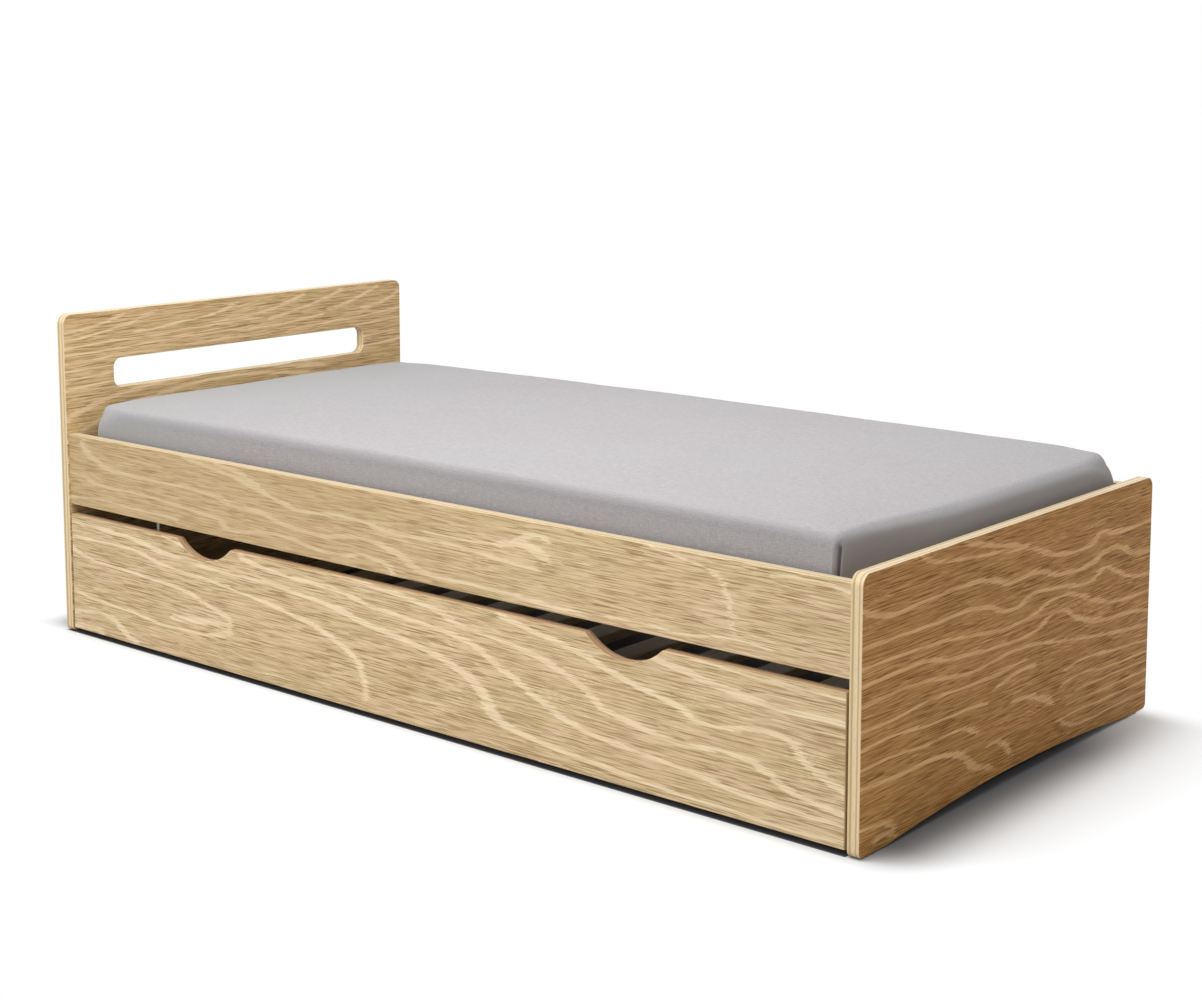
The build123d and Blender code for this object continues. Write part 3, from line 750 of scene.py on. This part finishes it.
def timber(name, grain):
    look = timbers[name]
    material, tree, shader = newMaterial(name + "_along_" + grain)
    x, y, z = placeOnPiece(tree, tree.nodes.new("ShaderNodeTexCoord"))
    along, across = (x, y) if grain == "X" else (y, x)
    marks = noises(tree, vectorOf(tree, along, across, z), timberNoise, look["seed"])
    fine = marks["fine"]
    # the rings run aslant through the board and drift along it
    count = plus(tree, times(tree, across, 0.8), times(tree, z, 1.3))
    count = plus(tree, count, swing(tree, marks["drift"], 16.0))
    count = plus(tree, count, swing(tree, fine, 0.5))
    ring = calc(tree, "FRACT", calc(tree, "DIVIDE", count, look["spacing"]))
    late = times(tree, ease(tree, ring, 0.45, 0.95), 0.55)
    colour = tint(tree, late, look["pale"], look["late"])
    streak = times(tree, ease(tree, fine, 0.54, 0.72), 0.25)
    colour = tint(tree, streak, colour, look["late"])
    colour = tint(tree, ease(tree, marks["knots"], 0.79, 0.86), colour, look["knot"])
    feed(tree, shader.inputs["Base Color"], colour)
    feed(tree, shader.inputs["Roughness"], plus(tree, 0.60, times(tree, streak, 0.4)))
    shader.inputs["Specular IOR Level"].default_value = 0.3
    addBump(tree, shader, fine, 0.0003, 0.5)
    return material


plainFinishes = {
    "zincSteel": {
        "base": srgb(196, 197, 194), "other": srgb(158, 161, 164), "blotch": 5.0,
        "metallic": 1.0, "roughness": (0.26, 0.46), "grain": 0.7, "relief": 0.00006, "specular": 0.5,
    },
    "moulding": {
        "base": srgb(58, 58, 61), "other": srgb(70, 70, 73), "blotch": 9.0,
        "metallic": 0.0, "roughness": (0.42, 0.58), "grain": 0.5, "relief": 0.00008, "specular": 0.4,
    },
    "tyreRubber": {
        "base": srgb(104, 105, 108), "other": srgb(86, 86, 88), "blotch": 12.0,
        "metallic": 0.0, "roughness": (0.62, 0.80), "grain": 0.9, "relief": 0.00012, "specular": 0.3,
    },
    "bufferRubber": {
        "base": srgb(44, 44, 45), "other": srgb(58, 58, 58), "blotch": 6.0,
        "metallic": 0.0, "roughness": (0.65, 0.80), "grain": 0.6, "relief": 0.00010, "specular": 0.3,
    },
}


def plainFinish(name):
    look = plainFinishes[name]
    material, tree, shader = newMaterial(name)
    x, y, z = placeOnPiece(tree, tree.nodes.new("ShaderNodeTexCoord"))
    spot = vectorOf(tree, x, y, z)
    cloud = blotches(tree, spot, (look["blotch"],) * 3, 3.0, 0.6, 7.0)
    grain = blotches(tree, spot, (look["grain"],) * 3, 2.0, 0.5, 3.0)
    colour = tint(tree, ease(tree, cloud, 0.35, 0.65), look["base"], look["other"])
    feed(tree, shader.inputs["Base Color"], colour)
    feed(tree, shader.inputs["Roughness"], ease(tree, cloud, 0.3, 0.7, *look["roughness"]))
    shader.inputs["Metallic"].default_value = look["metallic"]
    shader.inputs["Specular IOR Level"].default_value = look["specular"]
    addBump(tree, shader, grain, look["relief"], 0.6)
    return material


def dress(node, material):
    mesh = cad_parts[node].data
    mesh.materials.clear()
    mesh.materials.append(material)


def dressNodes():
    for node in oakFigure:
        dress(node, oakBoard(node))
    crosswise, lengthwise = timber("pine", "Y"), timber("pine", "X")
    finishes = {name: plainFinish(name) for name in plainFinishes}
    beech = timber("beech", "X")
    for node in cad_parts:
        if node in oakFigure or node == "mattress":
            continue
        if node.endswith("_slats") or node.endswith("_bearer"):
            dress(node, crosswise)
        elif node.endswith("_cleat") or node.endswith("_stop_block"):
            dress(node, lengthwise)
        elif node == "rail_dowels":
            dress(node, beech)
        elif node.endswith("_wheel_hub") or node == "foot_glides":
            dress(node, finishes["moulding"])
        elif node.endswith("_wheel_tyre"):
            dress(node, finishes["tyreRubber"])
        elif node == "stop_buffers":
            dress(node, finishes["bufferRubber"])
        else:
            dress(node, finishes["zincSteel"])


dressNodes()
print("boards, slats and fittings finished")


# the mattress: foam in a woven cover, with a sewn seam by each corner

mattressLook = {
    "edgeRadii": (24.0, 15.0, 21.0),     # everything in millimetres; these along x, y and z
    "cornerRadii": (60, 48, 66),
    "tightEdge": (20.0, 14.0, 19.0),
    "tightCorner": (14.0, 17.0, 20.0),
    "tightPull": 26.0,
    "tightFrom": 120.0,                  # forward of the middle, growing over the next length
    "tightOver": 250.0,
    "tightPullOver": 120.0,
    "cornerReach": 130.0,
    "startInset": 3.5,
    "rise": 3.2,
    "crown": 9.0,
    "crownSize": (960, 460),
    "risesOver": 151.0,
    "stillShare": 0.2,                   # the lowest share of that height keeps still
    "sideFrom": 400.0,
    "sideOver": 50.0,
    "waves": (170, 150, 120),
    "waveHeights": (1.6, 0.5),
    "endReach": 944.0,
    "sideReach": 448.6,
    "seamPlace": 909.0,
    "seamDepth": 5.5,
    "ridgeHeight": 2.0,
    "seamTop": 17.0,
    "seamWander": 0.8,
    "seamWave": 23.0,
    "threadPitch": 1.15,
    "top": srgb(157, 153, 154),
    "dark": srgb(136, 132, 134),
    "light": srgb(184, 180, 181),
    "cool": srgb(158, 161, 161),
    "thread": srgb(182, 178, 179),
    "seamShade": srgb(78, 70, 74),
    # painted light: a paler colour for the end face
    "paintedEndLight": srgb(183, 181, 183),
}
# the cloth that is blown up against the foam
coverFill = {
    "quality": 5,
    "mass": 0.3,
    "tension_stiffness": 25,
    "compression_stiffness": 25,
    "shear_stiffness": 8,
    "bending_stiffness": 2.0,
    "use_pressure": True,
    "uniform_pressure_force": 4.0,
}
fillFrames = 20
coverNoise = {
    "alongX": ((13.0, 0.75, 0.75), 2.0, 0.6, 1.0),
    "alongY": ((0.75, 13.0, 0.75), 2.0, 0.6, 5.0),
    "alongZ": ((0.9, 0.9, 7.0), 2.0, 0.6, 9.0),
    "slubs": ((16.0, 1.6, 1.6), 1.0, 0.5, 14.0),
    "cross": ((1.6, 16.0, 14.0), 1.0, 0.5, 19.0),
    "cloud": ((340.0, 240.0, 200.0), 2.0, 0.5, 23.0),
}


def stations(half, coarse, fine, band, extra=()):
    # places along one side, closer together near the edges and at the extra places
    places = {0.0}
    place = half
    while place > half - band:
        places.add(place)
        place -= fine
    steps = max(1, round(place / coarse))
    for count in range(1, steps + 1):
        places.add(place * count / steps)
    places |= set(extra)
    ordered = sorted(places)
    kept = [ordered[0]]
    for value in ordered[1:]:
        if value - kept[-1] > 0.8:
            kept.append(value)
    kept[-1] = half
    return [-value for value in reversed(kept[1:])] + kept


def gridShell(xs, ys, zs):
    # the six faces of a block as one closed quad mesh
    builder = bmesh.new()
    made = {}

    def corner(x, y, z):
        key = (round(x, 4), round(y, 4), round(z, 4))
        if key not in made:
            made[key] = builder.verts.new((x, y, z))
        return made[key]

    def sheet(firsts, seconds, place, outward):
        for a0, a1 in zip(firsts, firsts[1:]):
            for b0, b1 in zip(seconds, seconds[1:]):
                ring = [place(a0, b0), place(a1, b0), place(a1, b1), place(a0, b1)]
                if not outward:
                    ring.reverse()
                builder.faces.new([corner(*spot) for spot in ring])

    for side in (0, -1):
        out = side == -1
        sheet(xs, ys, lambda a, b: (a, b, zs[side]), out)
        sheet(ys, zs, lambda a, b: (xs[side], a, b), out)
        sheet(zs, xs, lambda a, b: (b, ys[side], a), out)
    return builder


def smoothShare(value):
    value = max(0.0, min(1.0, value))
    return value * value * (3 - 2 * value)


def between(first, second, share):
    return [one + (two - one) * share for one, two in zip(first, second)]


def roundBlock(builder, half, look):
    for vert in builder.verts:
        x, y, _ = vert.co
        nearEnd = max(0.0, 1 - (half[0] - abs(x)) / look["cornerReach"])
        nearSide = max(0.0, 1 - (half[1] - abs(y)) / look["cornerReach"])
        # the seam at the front of the foot end draws the cover tight
        tight = smoothShare((-y - look["tightFrom"]) / look["tightOver"]) if x > 0 else 0.0
        edge = between(look["edgeRadii"], look["tightEdge"], tight)
        corner = between(look["cornerRadii"], look["tightCorner"], tight)
        radii = between(edge, corner, smoothShare(nearEnd * nearSide))
        inner = Vector([max(-(size - radius), min(size - radius, value))
                        for size, value, radius in zip(half, vert.co, radii)])
        offset = Vector([part / radius for part, radius in zip(vert.co - inner, radii)]).normalized()
        vert.co = inner + Vector([part * radius for part, radius in zip(offset, radii)])
        pulled = smoothShare((x - half[0]) / look["tightPullOver"] + 1)
        vert.co.x -= look["tightPull"] * tight * pulled


def puff(obj, rise):
    # the cover is blown up a little against the foam, then held to a small rise
    start = [vert.co.copy() for vert in obj.data.vertices]
    cloth = obj.modifiers.new("cover", "CLOTH")
    for name, value in coverFill.items():
        setattr(cloth.settings, name, value)
    cloth.settings.effector_weights.gravity = 0
    cloth.collision_settings.use_self_collision = False
    cloth.point_cache.frame_start, cloth.point_cache.frame_end = 1, fillFrames
    scene = bpy.context.scene
    for count in range(1, fillFrames + 1):
        scene.frame_set(count)
    shaped = obj.evaluated_get(bpy.context.evaluated_depsgraph_get()).data
    moved = [vert.co.copy() for vert in shaped.vertices]
    obj.modifiers.remove(cloth)
    scene.frame_set(1)
    for vert, old, new in zip(obj.data.vertices, start, moved):
        shift = new - old
        length = shift.length
        if length > 1e-6:
            vert.co = old + shift * (rise * math.tanh(length / rise) / length)


def foamBlock(low, high, look):
    middle, half = (low + high) / 2, [size * 500 - look["startInset"] for size in high - low]
    near = [look["seamPlace"] + step for step in (-14, -10, -7, -5, -3.6, -2.4, -1.2, 0, 1.2, 2.4, 4, 7)]
    xs = stations(half[0], 15.0, 5.5, 66.0, near)
    ys = stations(half[1], 15.0, 5.5, 44.0)
    zs = stations(half[2], 9.0, 5.0, 30.0)
    builder = gridShell(xs, ys, zs)
    roundBlock(builder, half, look)
    for vert in builder.verts:
        vert.co = middle + vert.co / 1000
    return meshFrom(builder, "mattress_cover")


def settleCover(mesh, bottom, look):
    # soft waves, a higher middle and a flat underside, in millimetres
    strong, weak = look["waveHeights"]
    halfLength, halfWidth = look["crownSize"]
    for vert in mesh.vertices:
        place = vert.co * 1000
        wave = Vector([value / size for value, size in zip(place, look["waves"])])
        drift = noise.noise(wave + Vector((3, 5, 1))) * strong + noise.noise(wave * 3.1) * weak
        crown = (1 - (place.x / halfLength) ** 2) * (1 - 0.15 * (place.y / halfWidth) ** 4) * look["crown"]
        share = (place.z - bottom) / look["risesOver"]
        place.z += (drift + crown) * max(0.0, share - look["stillShare"])
        side = max(0.0, (abs(place.y) - look["sideFrom"]) / look["sideOver"])
        place.y += math.copysign(drift * 0.5 * side, place.y)
        place.z = max(place.z, bottom + 0.1)
        # room is left for the rails and the end boards
        place.x = max(-look["endReach"], min(look["endReach"], place.x))
        place.y = max(-look["sideReach"], min(look["sideReach"], place.y))
        vert.co = place / 1000


def makeMattress():
    look = mattressLook
    low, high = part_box("mattress")
    obj = addObject("mattress_cover", foamBlock(low, high, look))
    puff(obj, look["rise"] / 1000)
    settleCover(obj.data, low.z * 1000, look)
    smoothOver(obj)
    sewSeams(obj, high.z * 1000 - look["seamTop"], look)
    obj.data.materials.append(coverCloth())
    makeSmooth(obj.data)
    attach(obj, "bed_frame")
    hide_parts("mattress")
    return obj


def smoothOver(obj):
    # one step of subdivision, made part of the mesh
    modifier = obj.modifiers.new("smooth", "SUBSURF")
    modifier.levels = modifier.render_levels = 1
    finished = finishedMesh(obj)
    obj.modifiers.remove(modifier)
    obj.data = finished


def seamShift(z):
    # how far a seam wanders along the bed at this height
    return mattressLook["seamWander"] * math.sin(z / mattressLook["seamWave"])


def sewSeams(obj, top, look):
    # beside each corner the cover's side panel is gathered into an upright seam
    for vert in obj.data.vertices:
        x, y, z = vert.co * 1000
        if abs(y) < 410 or z > top + 12:
            continue
        outward = math.copysign(1, y)
        across = abs(x) - look["seamPlace"] - seamShift(z)
        fade = min(1.0, max(0.0, (top + 6 - z) / 16)) * min(1.0, (abs(y) - 410) / 12)
        groove = math.exp(-(across / 1.7) ** 2) * look["seamDepth"]
        ridge = math.exp(-((across + 5.5) / 3.4) ** 2) * look["ridgeHeight"]
        pull = math.exp(-(across / 16.0) ** 2) * 1.2
        shift = (ridge - groove - pull) * fade
        vert.co.y += outward * shift / 1000


def coverCloth():
    look = mattressLook
    material, tree, shader = newMaterial("wovenCover")
    x, y, z = placeOnPiece(tree, tree.nodes.new("ShaderNodeTexCoord"))
    marks = noises(tree, vectorOf(tree, x, y, z), coverNoise)
    threads = plus(tree, plus(tree, marks["alongX"], marks["alongY"]), marks["alongZ"])
    threads = calc(tree, "DIVIDE", threads, 3.0)
    sideward = calc(tree, "ABSOLUTE", y)
    colour = tint(tree, ease(tree, threads, 0.40, 0.60), look["dark"], look["light"])
    colour = tint(tree, 0.55, colour, look["top"])
    pale = times(tree, ease(tree, marks["slubs"], 0.60, 0.74), 0.45)
    colour = tint(tree, pale, colour, look["thread"])
    deep = times(tree, ease(tree, marks["cross"], 0.60, 0.76), 0.40)
    colour = tint(tree, deep, colour, look["dark"])
    cloudy = times(tree, ease(tree, marks["cloud"], 0.35, 0.65), 0.18)
    colour = tint(tree, cloudy, colour, look["cool"])
    nearHead = ease(tree, x, -350.0, -930.0, 0.0, 0.55)
    colour = tint(tree, nearHead, colour, look["cool"])
    # the end panel is painted paler: painted light on the end face, which the lamps light too little
    endward = less(tree, x, ease(tree, y, -370.0, -120.0, -look["tightPull"], 0.0))
    colour = tint(tree, ease(tree, endward, 928.0, 940.0, 0.0, 0.75), colour, look["paintedEndLight"])
    # the cover's long top edges are painted a little darker: painted shade that tones down the lamps'
    # highlight there
    paintedRimShade = times(tree, ease(tree, sideward, 424.0, 440.0), ease(tree, z, 448.0, 466.0))
    colour = tint(tree, times(tree, paintedRimShade, 0.30), colour, look["dark"])
    # painted shade gathers in the corner seams' grooves
    wander = calc(tree, "SINE", calc(tree, "DIVIDE", z, look["seamWave"]))
    seam = less(tree, calc(tree, "ABSOLUTE", x), look["seamPlace"])
    seam = less(tree, seam, times(tree, wander, look["seamWander"]))
    line = ease(tree, calc(tree, "ABSOLUTE", seam), 2.4, 0.8)
    line = times(tree, line, ease(tree, sideward, 412.0, 424.0))
    line = times(tree, line, ease(tree, z, 466.0, 452.0))
    colour = tint(tree, times(tree, line, 0.75), colour, look["seamShade"])
    feed(tree, shader.inputs["Base Color"], colour)
    shader.inputs["Roughness"].default_value = 0.86
    shader.inputs["Specular IOR Level"].default_value = 0.10
    shader.inputs["Sheen Weight"].default_value = 0.05
    shader.inputs["Sheen Roughness"].default_value = 0.5
    # the plain weave itself: over and under, thread by thread
    turns = [times(tree, part, math.pi / look["threadPitch"]) for part in (x, y, z)]
    overX, overY, overZ = [calc(tree, "SINE", part) for part in turns]
    weave = plus(tree, times(tree, overX, overY), times(tree, overZ, plus(tree, overX, overY)))
    relief = plus(tree, times(tree, threads, 2.4), times(tree, weave, 0.18))
    relief = plus(tree, relief, times(tree, marks["slubs"], 0.9))
    addBump(tree, shader, relief, 0.00045, 0.8)
    return material


cover = makeMattress()
print("mattress made")


# webbing under the slats, stapled to each one

webbingLook = {
    "width": 12.0,               # millimetres
    "thickness": 1.0,
    "step": 7.0,
    "sag": 1.6,
    "foldLength": 16.0,
    "tailTwist": -16.0,          # degrees
    "tailDrift": 9.0,
    "tailSwing": -17.0,
    "tailPlace": -735.0,
    "base": srgb(240, 238, 232),
    "shade": srgb(206, 203, 196),
    "rib": 1.6,
    "warp": 1.1,
}
# metres: the wire's length, its half thickness and how far its ends bend
stapleLook = {
    "Crown": 0.0088,
    "Wire": 0.00045,
    "Bend": 0.0011,
}
stitchLook = {
    "Crown": 0.0034,
    "Wire": 0.00032,
    "Bend": 0.0008,
}
stitchRow = {
    "inset": 6.2,                # millimetres
    "pitch": 5.0,
    "low": 336.0,
    "high": 456.0,
    "thread": srgb(120, 116, 118),
    "sheen": srgb(150, 146, 148),
}


def spansOf(node):
    # the stretches along the bed that the boards in a node cover, in order
    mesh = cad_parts[node].data
    faces = [[mesh.vertices[i].co.x for i in face.vertices] for face in mesh.polygons]
    spans = sorted((min(xs), max(xs)) for xs in faces)
    merged = [list(spans[0])]
    for start, end in spans[1:]:
        if start <= merged[-1][1] + 0.001:
            merged[-1][1] = max(merged[-1][1], end)
        else:
            merged.append([start, end])
    return merged


def ribbon(builder, places, thickness):
    # a strap through (middle, across, up) places: across is half its width as a vector
    shares = (-1, -0.86, -0.3, 0.3, 0.86, 1)
    rings = []
    for middle, across, up in places:
        spots = []
        for side, order in ((1, shares), (-1, shares[::-1])):
            # the strap is thinner along its two edges
            spots += [middle + across * share + up * (side * thickness / 2 * (1 - 0.55 * abs(share) ** 6))
                      for share in order]
        rings.append([builder.verts.new(spot) for spot in spots])
    count = len(rings[0])
    for ring, following in zip(rings, rings[1:]):
        for i in range(count):
            j = (i + 1) % count
            builder.faces.new((ring[i], ring[j], following[j], following[i]))
    builder.faces.new(list(reversed(rings[0])))
    builder.faces.new(rings[-1])


def sagAt(x, spans):
    # how far the tape hangs down between two slats
    for (_, end), (start, _) in zip(spans, spans[1:]):
        if end < x < start:
            share = (x - end) / (start - end)
            return 4 * share * (1 - share) * webbingLook["sag"] / 1000
    return 0.0


def tapeRun(low, high, middleY, width, thickness, spans):
    count = round((high.x - low.x) * 1000 / webbingLook["step"])
    places = []
    for index in range(count + 1):
        x = low.x + (high.x - low.x) * index / count
        middle = Vector((x, middleY, high.z - thickness / 2 - sagAt(x, spans)))
        places.append((middle, Vector((0, width / 2, 0)), Vector((0, 0, 1))))
    return places


def tapeFold(end, inward, middleY, width, underside):
    # an end is turned under and stapled through both layers
    places = []
    for index in range(5):
        x = end + inward * (0.0006 + webbingLook["foldLength"] / 1000 * index / 4)
        drop = (1.5 + 0.05 * index) / 1000
        middle = Vector((x, middleY, underside - drop))
        places.append((middle, Vector((0, width / 2 * inward, 0)), Vector((0, 0, 1))))
    return places


def tapeTail(low, high, middleY, width):
    # a loose end hangs beside the tape and twists as it goes down
    look = webbingLook
    x, y = look["tailPlace"] / 1000 + width / 2, middleY - width / 2 + 0.0005
    top = high.z - 0.0012
    places = []
    for index in range(15):
        share = index / 14
        turn = math.radians(look["tailTwist"] * share)
        driftX = look["tailDrift"] / 1000 * share ** 1.3
        driftY = look["tailSwing"] / 1000 * math.sin(share * 1.5)
        middle = Vector((x + driftX, y + driftY, top - share * (top - low.z)))
        across = Vector((math.cos(turn), math.sin(turn), 0)) * width / 2
        places.append((middle, across, Vector((math.sin(turn), -math.cos(turn), 0))))
    return places


def makeTape(node, slats, body, material, tail=False):
    low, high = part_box(node)
    spans = spansOf(slats)
    width, thickness = webbingLook["width"] / 1000, webbingLook["thickness"] / 1000
    middleY = (low.y + high.y) / 2
    builder = bmesh.new()
    ribbon(builder, tapeRun(low, high, middleY, width, thickness, spans), thickness)
    for end, inward in ((low.x, 1), (high.x, -1)):
        ribbon(builder, tapeFold(end, inward, middleY, width, high.z), thickness * 0.9)
    if tail:
        ribbon(builder, tapeTail(low, high, middleY, width), thickness)
    bmesh.ops.recalc_face_normals(builder, faces=builder.faces)
    mesh = meshFrom(builder, node + "_webbing")
    mesh.materials.append(material)
    obj = addObject(node + "_webbing", mesh)
    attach(obj, body)
    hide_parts(node)
    # a staple goes under the middle of each slat
    centres = [(start + end) / 2 for start, end in spans if low.x < (start + end) / 2 < high.x]
    return [Vector((x, middleY, high.z - thickness - 0.0003)) for x in centres]


def webbingCloth():
    look = webbingLook
    material, tree, shader = newMaterial("webbing")
    x, y, z = placeOnPiece(tree, tree.nodes.new("ShaderNodeTexCoord"))
    along = plus(tree, x, z)
    rib = calc(tree, "SINE", times(tree, along, math.tau / look["rib"]))
    warp = calc(tree, "SINE", times(tree, y, math.tau / look["warp"]))
    weave = times(tree, rib, warp)
    fuzz = blotches(tree, vectorOf(tree, x, y, z), (2.0, 0.6, 2.0), 2.0, 0.6, 4.0)
    shade = plus(tree, ease(tree, weave, -0.8, 0.8, 0.0, 0.5), swing(tree, fuzz, 0.3))
    shade = calc(tree, "MAXIMUM", shade, 0.0)
    feed(tree, shader.inputs["Base Color"], tint(tree, shade, look["base"], look["shade"]))
    shader.inputs["Roughness"].default_value = 0.8
    shader.inputs["Specular IOR Level"].default_value = 0.25
    addBump(tree, shader, weave, 0.0002, 0.7)
    return material


def bentWireTree():
    # a short wire whose ends bend down, set at each point: a staple or a stitch
    tree = bpy.data.node_groups.new("bentWire", "GeometryNodeTree")
    sockets = (
        ("Points", "Geometry"), ("Crown", "Float"), ("Wire", "Float"), ("Bend", "Float"),
        ("Turn", "Vector"), ("Seed", "Int"), ("Material", "Material"),
    )
    for name, kind in sockets:
        tree.interface.new_socket(name, in_out="INPUT", socket_type="NodeSocket" + kind)
    tree.interface.new_socket("Wires", in_out="OUTPUT", socket_type="NodeSocketGeometry")
    add, link = tree.nodes.new, tree.links.new
    inputs, output = add("NodeGroupInput"), add("NodeGroupOutput")
    line = add("GeometryNodeCurvePrimitiveLine")
    startPoint, endPoint = add("ShaderNodeCombineXYZ"), add("ShaderNodeCombineXYZ")
    link(times(tree, inputs.outputs["Crown"], -0.5), startPoint.inputs[0])
    link(times(tree, inputs.outputs["Crown"], 0.5), endPoint.inputs[0])
    link(startPoint.outputs[0], line.inputs["Start"])
    link(endPoint.outputs[0], line.inputs["End"])
    resample = add("GeometryNodeResampleCurve")
    resample.mode = "COUNT"
    resample.inputs["Count"].default_value = 11
    link(line.outputs[0], resample.inputs["Curve"])
    spline = add("GeometryNodeSplineParameter")
    away = calc(tree, "ABSOLUTE", less(tree, times(tree, spline.outputs["Factor"], 2.0), 1.0))
    drop = times(tree, calc(tree, "POWER", away, 7.0), inputs.outputs["Bend"])
    offset = add("ShaderNodeCombineXYZ")
    link(drop, offset.inputs[2])
    bent = add("GeometryNodeSetPosition")
    link(resample.outputs[0], bent.inputs["Geometry"])
    link(offset.outputs[0], bent.inputs["Offset"])
    ring = add("GeometryNodeCurvePrimitiveCircle")
    ring.inputs["Resolution"].default_value = 7
    link(inputs.outputs["Wire"], ring.inputs["Radius"])
    solid = add("GeometryNodeCurveToMesh")
    solid.inputs["Fill Caps"].default_value = True
    link(bent.outputs[0], solid.inputs["Curve"])
    link(ring.outputs[0], solid.inputs["Profile Curve"])
    # no two wires are set quite alike
    jitter = add("FunctionNodeRandomValue")
    jitter.data_type = "FLOAT_VECTOR"
    jitter.inputs[0].default_value = (-0.02, -0.02, -0.06)
    jitter.inputs[1].default_value = (0.02, 0.02, 0.06)
    link(inputs.outputs["Seed"], jitter.inputs["Seed"])
    turned = add("ShaderNodeVectorMath")
    link(inputs.outputs["Turn"], turned.inputs[0])
    link(jitter.outputs[0], turned.inputs[1])
    copies = add("GeometryNodeInstanceOnPoints")
    link(inputs.outputs["Points"], copies.inputs["Points"])
    link(solid.outputs[0], copies.inputs["Instance"])
    link(turned.outputs[0], copies.inputs["Rotation"])
    real = add("GeometryNodeRealizeInstances")
    link(copies.outputs[0], real.inputs[0])
    paint = add("GeometryNodeSetMaterial")
    link(real.outputs[0], paint.inputs["Geometry"])
    link(inputs.outputs["Material"], paint.inputs["Material"])
    link(paint.outputs[0], output.inputs[0])
    return tree


def wiresAt(name, points, sizes, turn, seed, material, tree, body):
    mesh = bpy.data.meshes.new(name + "_points")
    mesh.from_pydata([tuple(point) for point in points], [], [])
    source = addObject(name + "_points", mesh)
    modifier = source.modifiers.new("wires", "NODES")
    modifier.node_group = tree
    values = dict(sizes, Turn=turn, Seed=seed, Material=material)
    for item in tree.interface.items_tree:
        if item.item_type == "SOCKET" and item.in_out == "INPUT" and item.name in values:
            modifier[item.identifier] = values[item.name]
    finished = finishedMesh(source)
    source.modifiers.remove(modifier)
    bpy.data.objects.remove(source)
    finished.name = name
    makeSmooth(finished)
    obj = addObject(name, finished)
    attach(obj, body)


def makeWebbing():
    cloth = webbingCloth()
    tree = bentWireTree()
    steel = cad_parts["bed_slat_screws"].data.materials[0]
    crosswise = (0.0, 0.0, math.pi / 2)
    runs = (
        ("bed_frame", "bed_slats", ("front_slat_tape", "back_slat_tape")),
        ("trundle", "trundle_slats", ("trundle_front_tape", "trundle_back_tape")),
    )
    for body, slats, tapes in runs:
        points = []
        for tape in tapes:
            points += makeTape(tape, slats, body, cloth, tail=tape == "front_slat_tape")
        wiresAt(body + "_staples", points, stapleLook, crosswise, 5, steel, tree, body)
    return tree


def seamThread():
    look = stitchRow
    material, tree, shader = newMaterial("seamThread")
    x, y, z = placeOnPiece(tree, tree.nodes.new("ShaderNodeTexCoord"))
    ply = calc(tree, "SINE", plus(tree, times(tree, z, 9.0), times(tree, plus(tree, x, y), 7.0)))
    colour = tint(tree, ease(tree, ply, -0.7, 0.7), look["thread"], look["sheen"])
    feed(tree, shader.inputs["Base Color"], colour)
    shader.inputs["Roughness"].default_value = 0.6
    shader.inputs["Specular IOR Level"].default_value = 0.25
    addBump(tree, shader, ply, 0.0001, 0.6)
    return material


def sewStitches(tree):
    # one row of stitches beside each corner seam of the cover, lying on the cloth
    look = stitchRow
    surface = BVHTree.FromObject(cover, bpy.context.evaluated_depsgraph_get())
    material = seamThread()
    count = int((look["high"] - look["low"]) / look["pitch"])
    for name, side in (("front", -1), ("back", 1)):
        points = []
        for end in (-1, 1):
            for index in range(count):
                z = look["low"] + look["pitch"] * (index + 0.5)
                x = end * (mattressLook["seamPlace"] - look["inset"] + seamShift(z))
                start = Vector((x / 1000, side * 0.6, z / 1000))
                spot = surface.ray_cast(start, Vector((0, -side, 0)))[0]
                if spot:
                    points.append(spot + Vector((0, side * 0.00012, 0)))
        turn = Matrix(((0, -side, 0), (0, 0, -side), (1, 0, 0))).to_euler()
        wiresAt(
            "mattress_stitches_" + name, points, stitchLook, tuple(turn), 9,
            material, tree, "bed_frame",
        )


wireTree = makeWebbing()
print("webbing and staples made")
sewStitches(wireTree)
print("seams stitched")
